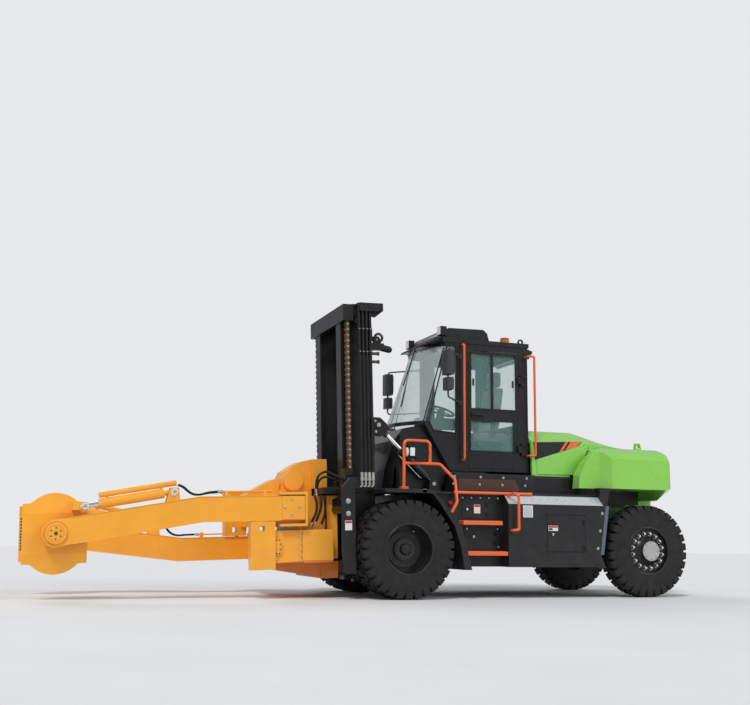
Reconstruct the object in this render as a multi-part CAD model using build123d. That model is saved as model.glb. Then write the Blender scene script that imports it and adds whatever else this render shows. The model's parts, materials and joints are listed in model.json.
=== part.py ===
from build123d import *
import math
import os

# Heavy electric forklift with a two-arm gripper, in millimetres.
# It is modelled with the drive axle's centre line at X = 0, the floor at Z = 0,
# +X forward, +Y to the truck's left and +Z up, and is moved on export so that
# the origin is the middle of the bottom of its bounding box.
# The mast and gripper are modelled upright and leaned forward on export.

# Wheels and axles
WHEELBASE = 3510
REAR = -WHEELBASE
TYRE_R = 615
TYRE_W = 300
RIM_R = 343
RIM_WALL = 16
TWIN_GAP = 40
LUGS = 30
LUG_DEEP = 34
LUG_LONG = 74
LUG_GROOVE = 36
FRONT_OUT = 1225
REAR_OUT = 1165
HUB_R = 165
REAR_HUB_R = 150
HUB_BOLTS = 16

# Chassis and side housings
SIDE_Y = 1200
FRAME_Y = 470
FRAME_PLATE = 60
FRAME_TOP = 1320
FRAME_LOW = 400
FRAME_END = REAR - 270
SEAT_Z = 805
DRIVE_R = 190
CABINET_LOW = 400
CABINET_TOP = 1206
CHAMFER_TOP = 1311
CHAMFER_IN = 110
DECK_TOP = 1321
CABINET_FRONT = -1380
CABINET_REAR = REAR + 695
CABINET_IN = 645
DOOR2 = (REAR + 1003, REAR + 1573, 595, 1075)
SKIN = 30

# Fenders, as an outline at the truck's side
FENDER_TOP = 1360
MAST_CLEAR = 572

# Cab
CAB_Y = 645
CAB_LOW = 1650
CAB_WALL = 45
CAB_FRONT = -435
CAB_REAR = -1973
DOOR_FRONT = -1068
DOOR_REAR = -1848
DOOR_LOW = 1680
DOOR_TOP = 3300
DOOR_GAP = 6
GLASS = 8
SCREEN_LOW = 2252
SCREEN_TOP = 3384
SCREEN_BACK = -726
SCREEN_BOW = 285
SCREEN_BOW_TOP = 170
LAMP_Y = 585
HINGE_X = -1864
HINGE_Y = 672
DOOR_HINGES = (2920, 1965)
STEP_Y = 1010
HOUSING_Y = 800
COWL_Y = 540
RAIL_R = 20
TAIL = REAR - 820
TAIL_R = 1700
BODY_Y = 1150
HOOD_TOP = 2265
HOOD_FRONT = -1985
HOOD_LOW = 1604
ARCH_TOP = 1443

# Mast, in its own upright frame
LEAN = 1.95
PIVOT_X = 480
PIVOT_Z = 560
MAST_PIN_X = 240
MAST_PIN_Z = 440
MAST_PIN_R = 35
MAST_TOP = 3775
LIFT = 1500
INNER_FRONT = 645
INNER_DEPTH = 300
INNER_IN = 366
INNER_OUT = 470
OUTER_FRONT = 530
OUTER_REAR = 205
OUTER_OUT = 562

# Gripper, in the mast's frame
ARM_Y = 800
ARM_T = 120
PAD_X = 4200
ARM_Z = 1137
ARM_H = 298
ARM_BEND = 2525

os.makedirs("parts", exist_ok=True)
UP = Vector(0, 0, 1)
LEFT = Vector(0, 1, 0)
FRONT = Vector(1, 0, 0)


# Shape helpers
def block(x0, x1, y0, y1, z0, z1):
    size = (abs(x1 - x0), abs(y1 - y0), abs(z1 - z0))
    return Pos((x0 + x1) / 2, (y0 + y1) / 2, (z0 + z1) / 2) * Box(*size)


def side_plate(points, y0, y1):
    """A side outline of (x, z) points, as thick as y0 to y1."""
    outline = Polyline(*[(x, y0, z) for x, z in points], close=True)
    return extrude(make_face(outline), amount=y1 - y0, dir=LEFT)


def plan_plate(points, z0, z1):
    """A plan outline of (x, y) points, as thick as z0 to z1."""
    outline = Polyline(*[(x, y, z0) for x, y in points], close=True)
    return extrude(make_face(outline), amount=z1 - z0, dir=UP)


def front_plate(points, x0, x1):
    """A front outline of (y, z) points, as thick as x0 to x1."""
    outline = Polyline(*[(x0, y, z) for y, z in points], close=True)
    return extrude(make_face(outline), amount=x1 - x0, dir=FRONT)


def rod(start, end, radius):
    start = Vector(*start)
    end = Vector(*end)
    return Solid.make_cylinder(radius, (end - start).length, Plane(start, z_dir=end - start))


def ring(start, end, radius, bore):
    return rod(start, end, radius) - rod(start, end, bore)


def tube(points, radius, bend):
    """A round bar along a bent route."""
    route = FilletPolyline(*points, radius=bend)
    start = Plane(Vector(*points[0]), z_dir=Vector(*points[1]) - Vector(*points[0]))
    return sweep(start * Circle(radius), path=route)


def spun(points):
    """A profile of (radius, y) points turned about the Y axis."""
    return revolve(make_face(Polyline(*[(r, y, 0) for r, y in points], close=True)), Axis.Y)


def other_side(shape):
    return mirror(shape, Plane.XZ)


def both_sides(shape):
    return Compound(children=[shape, other_side(shape)])


def joined(shapes):
    total = shapes[0]
    for shape in shapes[1:]:
        total = total + shape
    return total


def leaned(x, z):
    """A point of the upright mast frame, in the truck's frame."""
    a = math.radians(LEAN)
    dx = x - PIVOT_X
    dz = z - PIVOT_Z
    return PIVOT_X + dx * math.cos(a) + dz * math.sin(a), PIVOT_Z - dx * math.sin(a) + dz * math.cos(a)


# Wheels, each made about the origin with its outer side to +Y
def tyre():
    half = TYRE_W / 2
    carcass = spun([
        (RIM_R, 40 - half), (RIM_R + 26, 40 - half), (RIM_R + 75, -half), (TYRE_R - 110, -half),
        (TYRE_R, -half + 26), (TYRE_R, half - 26), (TYRE_R - 110, half),
        (RIM_R + 75, half), (RIM_R + 26, half - 40), (RIM_R, half - 40),
    ])
    notch = block(-LUG_GROOVE / 2, LUG_GROOVE / 2, half - LUG_LONG, half + 5, TYRE_R - LUG_DEEP, TYRE_R + 9)
    notch = notch + other_side(Rot(0, 180 / LUGS, 0) * notch)
    notches = [Rot(0, 360 * n / LUGS, 0) * notch for n in range(LUGS)]
    return carcass - notches


def rim(disc_y, lip_out):
    """Barrel with a lip at each edge and a disc at disc_y."""
    half = TYRE_W / 2
    inner = RIM_R - RIM_WALL
    return spun([
        (HUB_R - 30, disc_y), (inner, disc_y), (inner, lip_out * (half - 30)),
        (RIM_R + 22, lip_out * (half - 8)), (RIM_R + 22, lip_out * (half - 39.7)),
        (RIM_R - 0.3, lip_out * (half - 39.7)), (RIM_R - 0.3, -lip_out * (half - 39.7)),
        (RIM_R + 22, -lip_out * (half - 39.7)), (RIM_R + 22, -lip_out * (half - 8)),
        (inner, -lip_out * (half - 30)), (inner, disc_y - lip_out * 26), (HUB_R - 30, disc_y - lip_out * 26),
    ])


def bolt_ring(radius, count, y0, y1, size):
    bolts = [Rot(0, 360 * (n + 0.5) / count, 0) * rod((radius, y0, 0), (radius, y1, 0), size) for n in range(count)]
    return bolts


TWIN_OUT = FRONT_OUT - TYRE_W / 2
TWIN_IN = TWIN_OUT - TYRE_W - TWIN_GAP
REAR_MID = REAR_OUT - TYRE_W / 2
STUB_R = 70
STUB_END = 760
HUB_FACE = 1050
HUB_START = 590
RUN_FIT = 0.6
KINGPIN_Y = 790
KINGPIN_R = 35
KNUCKLE_R = 70
KNUCKLE_H = 99
SPINDLE_R = 55
SPINDLE_END = 1075
NUT_RING = 232


def front_tyres():
    return Compound(children=[Pos(0, y, TYRE_R) * tyre() for y in (TWIN_OUT, TWIN_IN)])


def front_rims():
    outer = Pos(0, TWIN_OUT, TYRE_R) * rim(-84, 1)
    inner = Pos(0, TWIN_IN, TYRE_R) * other_side(rim(-84, 1))
    hub = rod((0, HUB_START, TYRE_R), (0, HUB_FACE, TYRE_R), HUB_R - 25)
    flange = rod((0, TWIN_IN + 60, TYRE_R), (0, TWIN_OUT - 60, TYRE_R), HUB_R + 60)
    bolts = [Pos(0, 0, TYRE_R) * b for b in bolt_ring(105, HUB_BOLTS, HUB_FACE - 10, HUB_FACE + 12, 9)]
    bore = rod((0, HUB_START - 1, TYRE_R), (0, STUB_END + 1, TYRE_R), STUB_R + RUN_FIT)
    return joined([outer, inner, hub, flange] + bolts) - bore


def rear_tyre():
    return Pos(-WHEELBASE, REAR_MID, TYRE_R) * tyre()


def rear_rim():
    centre = Pos(-WHEELBASE, 0, TYRE_R)
    wheel = Pos(0, REAR_MID, 0) * rim(96, 1)
    hub = rod((0, REAR_MID - 60, 0), (0, REAR_OUT - 5, 0), REAR_HUB_R)
    cap = rod((0, REAR_OUT - 10, 0), (0, REAR_OUT + 50, 0), REAR_HUB_R - 20)
    nuts = bolt_ring(NUT_RING, HUB_BOLTS, REAR_MID + 80, REAR_MID + 130, 21)
    bore = rod((0, REAR_MID - 61, 0), (0, SPINDLE_END + 1, 0), SPINDLE_R + RUN_FIT)
    return centre * (joined([wheel, hub, cap] + nuts) - bore)


def drive_axle():
    """Axle tube with its final drive and motor, between the front wheels."""
    z = TYRE_R
    beam = rod((0, -560, z), (0, 560, z), 125)
    stubs = rod((0, -STUB_END, z), (0, STUB_END, z), STUB_R)
    flanges = [rod((0, s * 535, z), (0, s * (HUB_START - 1), z), 165) for s in (-1, 1)]
    drive = rod((0, -150, z), (0, 150, z), DRIVE_R)
    motor = rod((-120, 0, z), (-760, 0, z + 20), 170)
    pads = [block(-110, 60, s * 380, s * 500, z + 60, SEAT_Z - 0.3) for s in (-1, 1)]
    pin_x, pin_z = leaned(MAST_PIN_X, MAST_PIN_Z)
    ears = []
    for s in (-1, 1):
        outline = [(-40, z - 110), (60, 500), (pin_x - 42, pin_z - 30), (pin_x - 20, pin_z - 42), (pin_x + 20, pin_z - 42),
                   (pin_x + 44, pin_z), (pin_x + 30, pin_z + 40), (90, z + 80), (0, z + 90)]
        y0, y1 = sorted((s * 155, s * 185))
        ear = side_plate(outline, y0, y1)
        ears.append(ear)
    axle = joined([beam, stubs, drive, motor] + flanges + pads + ears)
    return axle - rod((pin_x, -200, pin_z), (pin_x, 200, pin_z), MAST_PIN_R + RUN_FIT)


def steer_axle():
    """Cross beam with a yoke for each kingpin and its steering cylinder."""
    x = -WHEELBASE
    z = TYRE_R
    beam = plan_plate([(x - 110, -600), (x - 110, 600), (x + 110, 600), (x + 110, -600)], z - 110, z + 110)
    ears = []
    for s in (-1, 1):
        outline = [(x - 110, s * 590), (x - 60, s * KINGPIN_Y), (x + 60, s * KINGPIN_Y), (x + 110, s * 590)]
        for low in (KNUCKLE_H + 1, -KNUCKLE_H - 41):
            ear = plan_plate(outline, z + low, z + low + 40)
            ear = ear + rod((x, s * KINGPIN_Y, z + low), (x, s * KINGPIN_Y, z + low + 40), KNUCKLE_R)
            ears.append(ear)
        root = block(x - 105, x + 105, s * 560, s * 640, z - KNUCKLE_H - 41, z + KNUCKLE_H + 41)
        ears.append(root)
    cylinder = rod((x - 170, -300, z), (x - 170, 300, z), 65)
    saddle = block(x - 170, x, -60, 60, z - 60, z + 60)
    trunnion = block(x - 60, x + 60, -120, 120, z + 100, z + 165)
    axle = joined([beam, cylinder, saddle, trunnion] + ears)
    for s in (-1, 1):
        axle = axle - rod((x, s * KINGPIN_Y, z - 150), (x, s * KINGPIN_Y, z + 150), KINGPIN_R + RUN_FIT)
    return axle


def knuckle():
    x = -WHEELBASE
    z = TYRE_R
    hub = rod((x, KINGPIN_Y, z - KNUCKLE_H), (x, KINGPIN_Y, z + KNUCKLE_H), KNUCKLE_R)
    pin = rod((x, KINGPIN_Y, z - KNUCKLE_H - 40), (x, KINGPIN_Y, z + KNUCKLE_H + 40), KINGPIN_R)
    flange = rod((x, KINGPIN_Y + 50, z), (x, REAR_MID - 62, z), 95)
    spindle = rod((x, KINGPIN_Y, z), (x, SPINDLE_END, z), SPINDLE_R)
    return joined([hub, pin, flange, spindle])


# Chassis and what stands on it
def chassis_frame():
    """Two side plates with cross members, front axle seats and side brackets."""
    outline = [
        (60, SEAT_Z), (60, 880), (-25, FRAME_TOP), (REAR + 660, FRAME_TOP), (REAR + 610, ARCH_TOP - 0.3),
        (FRAME_END, ARCH_TOP - 0.3), (FRAME_END, 900), (REAR + 560, 900), (REAR + 710, FRAME_LOW),
        (-620, FRAME_LOW), (-420, 470), (-140, 470), (-140, SEAT_Z),
    ]
    plates = []
    for s in (-1, 1):
        y0, y1 = sorted((s * FRAME_Y, s * (FRAME_Y + FRAME_PLATE)))
        plates.append(side_plate(outline, y0, y1))
    cut = block(REAR - 690, REAR + 660, -700, 700, 300, 1250)
    sides = [plate - cut for plate in plates]
    crossing = [
        (-160, -60, 880, FRAME_TOP), (-900, -840, FRAME_LOW, FRAME_TOP), (REAR + 650, REAR + 710, FRAME_LOW, FRAME_TOP),
    ]
    ties = [block(x0, x1, -FRAME_Y - 5, FRAME_Y + 5, z0, z1) for x0, x1, z0, z1 in crossing]
    floor = block(REAR + 650, -840, -FRAME_Y - 5, FRAME_Y + 5, FRAME_LOW, FRAME_LOW + 40)
    spine = block(FRAME_END, REAR + 710, -200, 200, 1250, FRAME_TOP)
    hanger = block(-WHEELBASE - 60, -WHEELBASE + 60, -120, 120, TYRE_R + 165.3, 1260)
    seats = []
    for s in (-1, 1):
        seats.append(block(-110, 60, s * 380, s * (FRAME_Y + 5), SEAT_Z, SEAT_Z + 70))
    brackets = []
    for s in (-1, 1):
        for x in (-1900, REAR + 910):
            brackets.append(block(x - 40, x + 40, s * FRAME_Y, s * CABINET_IN, 520, 620))
    return joined(sides + ties + [floor, spine, hanger] + seats + brackets)


def battery():
    return block(REAR + 730, -950, -FRAME_Y + 10, FRAME_Y - 10, FRAME_LOW + 40.3, FRAME_TOP + 250)


def cabinet():
    """Side housing with its sloping silver-grey shoulder, left side."""
    front = [
        (SIDE_Y, CABINET_LOW), (SIDE_Y, CABINET_TOP), (SIDE_Y - CHAMFER_IN, CHAMFER_TOP),
        (SIDE_Y - CHAMFER_IN - 20, DECK_TOP), (CABINET_IN, DECK_TOP), (CABINET_IN, CABINET_LOW),
    ]
    body = front_plate(front, CABINET_REAR, CABINET_FRONT)
    rear_cut = side_plate([(REAR + 697, 1206), (REAR + 839, 394), (REAR + 839, 300), (REAR + 610, 300), (REAR + 610, 1206)], 500, 1300)
    inside = block(REAR + 870, CABINET_FRONT - SKIN, CABINET_IN + SKIN, SIDE_Y - SKIN, CABINET_LOW + SKIN, CABINET_TOP - SKIN)
    doorway = block(DOOR2[0], DOOR2[1], 1100, 1300, DOOR2[2], DOOR2[3])
    body = body - rear_cut - inside - doorway
    return body + rear_post()


def cabinet_door():
    gap = 6
    leaf = block(DOOR2[0] + gap, DOOR2[1] - gap, SIDE_Y - 22, SIDE_Y + 2, DOOR2[2] + gap, DOOR2[3] - gap)
    latch = block(DOOR2[1] - 73, DOOR2[1] - 23, SIDE_Y, SIDE_Y + 12, 880, 900)
    hinges = [rod((DOOR2[0] + 2, SIDE_Y + 9.5, z - 35), (DOOR2[0] + 2, SIDE_Y + 9.5, z + 35), 9) for z in (695, 985)]
    hinges = hinges + [block(DOOR2[0] + 2, DOOR2[0] + 30, SIDE_Y, SIDE_Y + 8, z - 35, z + 35) for z in (695, 985)]
    return joined([leaf, latch] + hinges)


def rear_post():
    """Leaning plate that closes the cabinet in front of the rear wheel."""
    outline = [(REAR + 672, DECK_TOP), (REAR + 640, DECK_TOP), (REAR + 684, 1020), (REAR + 770, 560), (REAR + 704, 390), (REAR + 836, 390), (REAR + 693, 1206)]
    top = [(REAR + 782, ARCH_TOP - 1), (REAR + 609, ARCH_TOP - 1), (REAR + 640, DECK_TOP - 5), (REAR + 693, 1206), (REAR + 720, 1206), (REAR + 730, DECK_TOP)]
    return side_plate(outline, 560, SIDE_Y) + side_plate(top, SIDE_Y - CHAMFER_IN - 18, SIDE_Y)


def step_box():
    """Recessed locker between fender and cabinet, with two treads in front."""
    z_low = 401
    outline = [(-842, z_low), (CABINET_FRONT, z_low), (CABINET_FRONT, DECK_TOP), (-385, DECK_TOP), (-700, 930), (-775, 637)]
    body = side_plate(outline, FRAME_Y + FRAME_PLATE + 0.5, STEP_Y)
    return body


def step_treads():
    treads = []
    for x0, x1, z0, z1 in ((-745, -1296, 931, 981), (-806, -1370, 544, 594)):
        tread = block(x0, x1, STEP_Y, SIDE_Y - 10, z0, z1)
        tread = tread - block(x0 - 25, x1 + 25, STEP_Y + 25, SIDE_Y - 35, z0 - 1, z0 + 30)
        treads.append(tread)
    return Compound(children=treads)


def fender():
    outer = [(330, 1360), (-304, 1360), (-690, 930), (-772, 637), (-845, 364)]
    inner = [(-745, 364), (-690, 660), (-610, 905), (-400, 1200), (-300, 1314), (330, 1314)]
    shell = side_plate(outer + inner, FRAME_Y + FRAME_PLATE + 0.5, SIDE_Y + 30)
    return shell - block(-40, 400, 500, MAST_CLEAR, 1200, 1500)


def deck():
    """Platform plate round the battery, with the raised housing under cab and hood."""
    plate = block(CABINET_REAR, -350, -SIDE_Y + CHAMFER_IN + 22, SIDE_Y - CHAMFER_IN - 22, DECK_TOP + 0.5, DECK_TOP + 25)
    low = DECK_TOP + 20
    under_cab = block(HOOD_FRONT + 0.3, -800, -HOUSING_Y, HOUSING_Y, low, CAB_LOW - 42)
    under_hood = block(REAR + 680, HOOD_FRONT + 5, -HOUSING_Y + 30, HOUSING_Y - 30, low, HOOD_LOW - 0.3)
    hollow = block(REAR + 720, -840, -FRAME_Y - 10, FRAME_Y + 10, DECK_TOP - 5, FRAME_TOP + 260)
    return joined([plate, under_cab, under_hood]) - hollow


def cab_plan(z, front, bow, inset=0):
    """Plan of the cab at height z: straight sides and rear, bowed front."""
    y = CAB_Y - inset
    rear = CAB_REAR + inset
    front = front - inset
    sides = Polyline((front, y, z), (rear, y, z), (rear, -y, z), (front, -y, z))
    bowed = ThreePointArc((front, -y, z), (front + bow, 0, z), (front, y, z))
    return make_face([sides, bowed])


def cab_volume(inset):
    low = cab_plan(SCREEN_LOW, CAB_FRONT, SCREEN_BOW, inset)
    high = cab_plan(SCREEN_TOP, SCREEN_BACK, SCREEN_BOW_TOP, inset)
    return loft([low, high])


def cab_lower(inset):
    base = CAB_LOW + inset
    outline = [(CAB_REAR + inset, base), (-797 - inset, base), (CAB_FRONT - inset, SCREEN_LOW), (CAB_REAR + inset, SCREEN_LOW)]
    return side_plate(outline, -CAB_Y + inset, CAB_Y - inset)


def door_outline(grow=0):
    low = DOOR_LOW + DOOR_GAP - grow
    high = DOOR_TOP - DOOR_GAP + grow
    front = DOOR_FRONT - DOOR_GAP + grow
    return [(front, low), (-1740 - grow, low), (-1818 - grow, 2302), (DOOR_REAR + DOOR_GAP - grow, high), (front, high)]


WINDOWS = ((-1101, -1795, 2490, 3265), (-1092, -1752, 1915, 2340))


def window_cuts(y0, y1):
    return [block(x0, x1, y0, y1, z0, z1) for x0, x1, z0, z1 in WINDOWS]


def cab_shell():
    shell = cab_volume(0) + cab_lower(0)
    shell = shell - (cab_volume(CAB_WALL) + cab_lower(CAB_WALL))
    screen = side_plate([(-560, 2300), (100, 2300), (100, 3330), (-800, 3330)], -CAB_Y + 30, CAB_Y - 30)
    quarter = [(-889, 3335), (-757, 3335), (-487, 2300), (-560, 2175), (-889, 2150)]
    rear = block(CAB_REAR - 10, CAB_REAR + 100, -520, 520, 2330, 3270)
    cuts = [screen, rear, side_plate(door_outline(DOOR_GAP), CAB_Y - 100, CAB_Y + 10)]
    for s in (-1, 1):
        y0, y1 = sorted((s * (CAB_Y - 100), s * (CAB_Y + 10)))
        cuts.append(side_plate(quarter, y0, y1))
    cuts = cuts + window_cuts(-CAB_Y - 10, -CAB_Y + 100)
    shell = shell - cuts
    for z in DOOR_HINGES:
        for low in (z - 82, z + 47):
            shell = shell + rod((HINGE_X, HINGE_Y, low), (HINGE_X, HINGE_Y, low + 35), 14)
            shell = shell + block(HINGE_X - 60, HINGE_X, CAB_Y - 1, HINGE_Y + 6, low, low + 35)
    return shell


def cab_glass():
    """Bowed windscreen, quarter panes, right side panes and rear pane."""
    shell = cab_volume(12) - cab_volume(12 + GLASS)
    screen = shell & side_plate([(-560, 2300.3), (100, 2300.3), (100, 3329.7), (-799, 3329.7)], -CAB_Y + 30.3, CAB_Y - 30.3)
    panes = [screen]
    quarter = [(-888.7, 3334), (-758, 3334), (-488, 2301), (-560.3, 2176), (-888.7, 2151)]
    for s in (-1, 1):
        y0, y1 = sorted((s * (CAB_Y - 30), s * (CAB_Y - 30 - GLASS)))
        panes.append(side_plate(quarter, y0, y1))
    for x0, x1, z0, z1 in WINDOWS:
        panes.append(block(x0 - 0.3, x1 + 0.3, -CAB_Y + 20, -CAB_Y + 20 + GLASS, z0 + 0.3, z1 - 0.3))
    panes.append(block(CAB_REAR + 15, CAB_REAR + 15 + GLASS, -519.7, 519.7, 2330.3, 3269.7))
    return Compound(children=panes)


def cab_door():
    leaf = side_plate(door_outline(), CAB_Y - 42, CAB_Y)
    cuts = [block(x0, x1, CAB_Y - 100, CAB_Y + 10, z0, z1) for x0, x1, z0, z1 in WINDOWS]
    handle = block(-1110, -1300, CAB_Y, CAB_Y + 24, 2395, 2425)
    for cut in cuts:
        leaf = leaf - cut
    knuckles = []
    for z in DOOR_HINGES:
        arm = block(HINGE_X, DOOR_REAR + 40, CAB_Y, HINGE_Y + 6, z - 45, z + 45)
        barrel = rod((HINGE_X, HINGE_Y, z - 45), (HINGE_X, HINGE_Y, z + 45), 14)
        knuckles.append(arm + barrel)
    return joined([leaf, handle] + knuckles)


def cab_door_glass():
    return Compound(children=[
        block(x0 - 0.3, x1 + 0.3, CAB_Y - 25, CAB_Y - 25 + GLASS, z0 + 0.3, z1 - 0.3) for x0, x1, z0, z1 in WINDOWS
    ])


def cowl():
    """Faceted nose in front of the cab, from windscreen foot to fenders."""
    nose = [(-796, CAB_LOW - 10), (-433, SCREEN_LOW - 2), (-150, 2190), (-60, 2040), (30, 1650), (60, FENDER_TOP), (-700, FENDER_TOP)]
    wide = side_plate(nose, -COWL_Y, COWL_Y)
    outline = [(60, 330), (-120, COWL_Y), (-800, COWL_Y), (-800, -COWL_Y), (-120, -COWL_Y), (60, -330)]
    shaped = wide & plan_plate(outline, 1300, 2300)
    inside = side_plate([(-780, 1300), (-500, 2000), (-200, 2000), (-60, 1640), (-40, 1300)], -COWL_Y + 40, COWL_Y - 40)
    return shaped - inside


def cab_roof():
    base = block(CAB_REAR - 20, -690, -CAB_Y - 12, CAB_Y + 12, SCREEN_TOP + 0.3, SCREEN_TOP + 60)
    cap = side_plate([(-700, 3440), (-756, 3581), (-1312, 3596), (-1390, 3440)], -500, 500)
    visor = side_plate([(-690, SCREEN_TOP + 20), (-560, SCREEN_TOP + 5), (-560, SCREEN_TOP + 20), (-690, SCREEN_TOP + 60)], -600, 600)
    rear = side_plate([(CAB_REAR - 10, SCREEN_TOP + 40), (-2140, 3372), (-2081, 3262), (CAB_REAR - 10, 3330)], -500, 500)
    eyes = []
    for s in (-1, 1):
        for x in (-1913, -1000):
            eyes.append(ring((x, s * 560 - 10, SCREEN_TOP + 95), (x, s * 560 + 10, SCREEN_TOP + 95), 42, 22))
    return joined([base, cap, visor, rear] + eyes)


def roof_lamps():
    """Two work lamps over the windscreen and the beacon."""
    z = SCREEN_TOP + 60.3
    parts = []
    for s in (-1, 1):
        body = block(-750, -662, s * LAMP_Y - 62, s * LAMP_Y + 62, z + 40, z + 160)
        leg = block(-730, -700, s * LAMP_Y - 15, s * LAMP_Y + 15, z, z + 45)
        parts.append(body + leg)
    beacon = rod((-1800, 300, z), (-1800, 300, z + 30), 45) + rod((-1800, 300, z + 20), (-1800, 300, z + 125), 62)
    return Compound(children=parts + [beacon])


def seat():
    pedestal = block(-1750, -1350, -90, 390, CAB_LOW + CAB_WALL, 2060)
    cushion = block(-1780, -1250, -110, 410, 2060, 2200)
    back = side_plate([(-1640, 2200), (-1510, 2200), (-1600, 2840), (-1700, 2840)], -90, 390)
    head = block(-1750, -1630, 10, 290, 2870, 3080)
    posts = rod((-1680, 90, 2820), (-1690, 90, 2880), 8) + rod((-1680, 210, 2820), (-1690, 210, 2880), 8)
    return joined([pedestal, cushion, back, head, posts])


def steering_column():
    base = Vector(-790, 150, 1960)
    top = Vector(-880, 150, 2500)
    post = rod(tuple(base), tuple(top), 55)
    wheel = Plane(top, z_dir=(-0.35, 0, 1)) * Torus(180, 16)
    spokes = Plane(top, z_dir=(-0.35, 0, 1)) * (Box(360, 24, 14) + Box(24, 360, 14))
    floor = CAB_LOW + CAB_WALL
    desk = side_plate([(-846, floor), (-489, 2245), (-560, 2260), (-770, 2040), (-900, floor)], -400, 400)
    return joined([post, wheel, spokes, desk])


def cab_rails():
    """Vertical rails on the front and rear pillars of one side of the cab."""
    foot = CAB_Y + 0.3
    out = CAB_Y + 110
    front = [(-978, foot, 1788), (-978, out - 35, 1788), (-978, out - 35, 3362), (-978, foot, 3362)]
    low = [(-1945, foot, 1879), (-1945, out - 15, 1879), (-2025, out, 1879)]
    high = [(x, y, 3254) for x, y, z in reversed(low)]
    return Compound(children=[tube(front, 16, 40), tube(low + high, 16, 18)])


def handrails():
    """Lamp guard, step handrail, deck-edge bar and grab rail, left side."""
    foot = FENDER_TOP + 0.3
    guard = tube([(0, 1000, foot), (0, 1000, 1990), (-359, 1000, 1990), (-359, 1000, 1690)], RAIL_R, 60)
    slope_end = (-610, 1120, 1080)
    step = [(15, 1000, 1700), (-500, 1000, 1700), (-686, 1060, 1500), (-686, 1120, 1214), slope_end]
    hand = tube(step, RAIL_R, 70)
    socket = block(-45, 45, 955, 1045, foot, foot + 40)
    deck_y = SIDE_Y - CHAMFER_IN - 22 + RAIL_R + 0.3
    bar = rod((-660, deck_y, DECK_TOP + 19), (-1776, deck_y, DECK_TOP + 19), RAIL_R)
    top = [(-1420, SIDE_Y - 82, 1303), (-1440, SIDE_Y + 62, 1345), (-1495, SIDE_Y + 62, 1300)]
    foot = [(-1495, SIDE_Y + 62, 876), (-1420, SIDE_Y + 62, 866), (-1420, SIDE_Y + 0.3, 866)]
    grab = tube(top + foot, RAIL_R - 2, 22)
    return Compound(children=[joined([guard, hand, socket]), bar, grab])


def headlamp():
    body = block(-195, -45, 925, 1075, 1768, 1918)
    hood = block(-205, -40, 918, 1082, 1905, 1925)
    bracket = block(-338.7, -190, 985, 1015, 1820, 1860)
    return joined([body, hood, bracket])


def mirror_set():
    arm = tube([(-935, CAB_Y + 12, 3196), (-560, 1125, 3205), (-560, 1125, 2570), (-935, CAB_Y + 12, 2560)], 11, 45)
    feet = [block(-965, -905, CAB_Y + 0.3, CAB_Y + 22, z - 30, z + 30) for z in (3196, 2560)]
    big = block(-620, -500, 1025, 1225, 2860, 3168)
    small = block(-610, -510, 1035, 1215, 2657, 2816)
    big = fillet(big.edges().filter_by(Axis.Z), 45)
    small = fillet(small.edges().filter_by(Axis.Z), 40)
    return joined([arm, big, small] + feet)


def weight_body():
    """Outer form of the cast tail, rounded in plan and at the shoulders."""
    profile = [
        (REAR + 970, ARCH_TOP), (REAR + 950, 1621), (REAR + 860, 1787), (REAR + 750, 1900), (REAR + 650, 1965), (REAR + 510, 2010),
        (REAR + 177, 2035), (REAR - 351, 2045), (TAIL - 10, 2045), (TAIL - 10, 1310), (REAR - 360, 1310), (REAR - 290, ARCH_TOP),
    ]
    half = BODY_Y
    body = side_plate(profile, -half, half)
    rear_mid = TAIL
    corner = TAIL + TAIL_R - math.sqrt(TAIL_R ** 2 - half ** 2)
    flare = [(corner, half), (REAR + 535, half), (REAR + 660, 1030), (REAR + 1010, 1000)]
    sides = flare + [(x, -y) for x, y in reversed(flare)]
    z0 = 1200
    z1 = 2200
    outline = [Polyline(*[(x, y, z0) for x, y in sides])]
    outline.append(ThreePointArc((corner, -half, z0), (rear_mid, 0, z0), (corner, half, z0)))
    plan = extrude(make_face(outline), amount=z1 - z0, dir=UP)
    crown = [
        (-half, 1200), (-half, 1850), (-half + 70, 1930), (-800, 2018), (-300, 2045),
        (300, 2045), (800, 2018), (half - 70, 1930), (half, 1850), (half, 1200),
    ]
    r = TAIL_R
    rounding = [(0, 1200), (r - 190, 1200), (r - 190, 1310), (r, 1470), (r, 1830), (r - 30, 1915),
                (r - 110, 1985), (r - 260, 2046), (0, 2046)]
    dome = revolve(make_face(Polyline(*[(d, 0, z) for d, z in rounding], close=True)), Axis.Z)
    return (body & plan) & front_plate(crown, REAR - 890, REAR + 1110) & (Pos(TAIL + r, 0, 0) * dome)


def hood():
    """Cover behind the cab: a ridged front section and a tail that slopes down."""
    front = HOOD_FRONT
    middle = REAR + 710
    section = [
        (-CAB_Y - 85, HOOD_LOW), (-CAB_Y - 60, 2085), (-430, 2235), (-300, HOOD_TOP),
        (300, HOOD_TOP), (430, 2235), (CAB_Y + 60, 2085), (CAB_Y + 85, HOOD_LOW),
    ]
    main = front_plate(section, middle, front)
    inner = front_plate([(y * 0.94, z - 34) for y, z in section], middle + 40, front + 60)
    tail_low = [(-640, 1985), (-640, 2030), (-300, 2075), (300, 2075), (640, 2030), (640, 1985)]
    near = [(-690, 1985), (-690, 2085), (-310, HOOD_TOP - 12), (310, HOOD_TOP - 12), (690, 2085), (690, 1985)]

    def face(points, x):
        return make_face(Polyline(*[(x, y, z) for y, z in points], close=True))

    tail = loft([face(near, middle - 60), face(tail_low, REAR - 10)])
    cover = main + tail + front_plate(near, middle - 60, middle) - inner
    return cover - weight_body()


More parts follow.
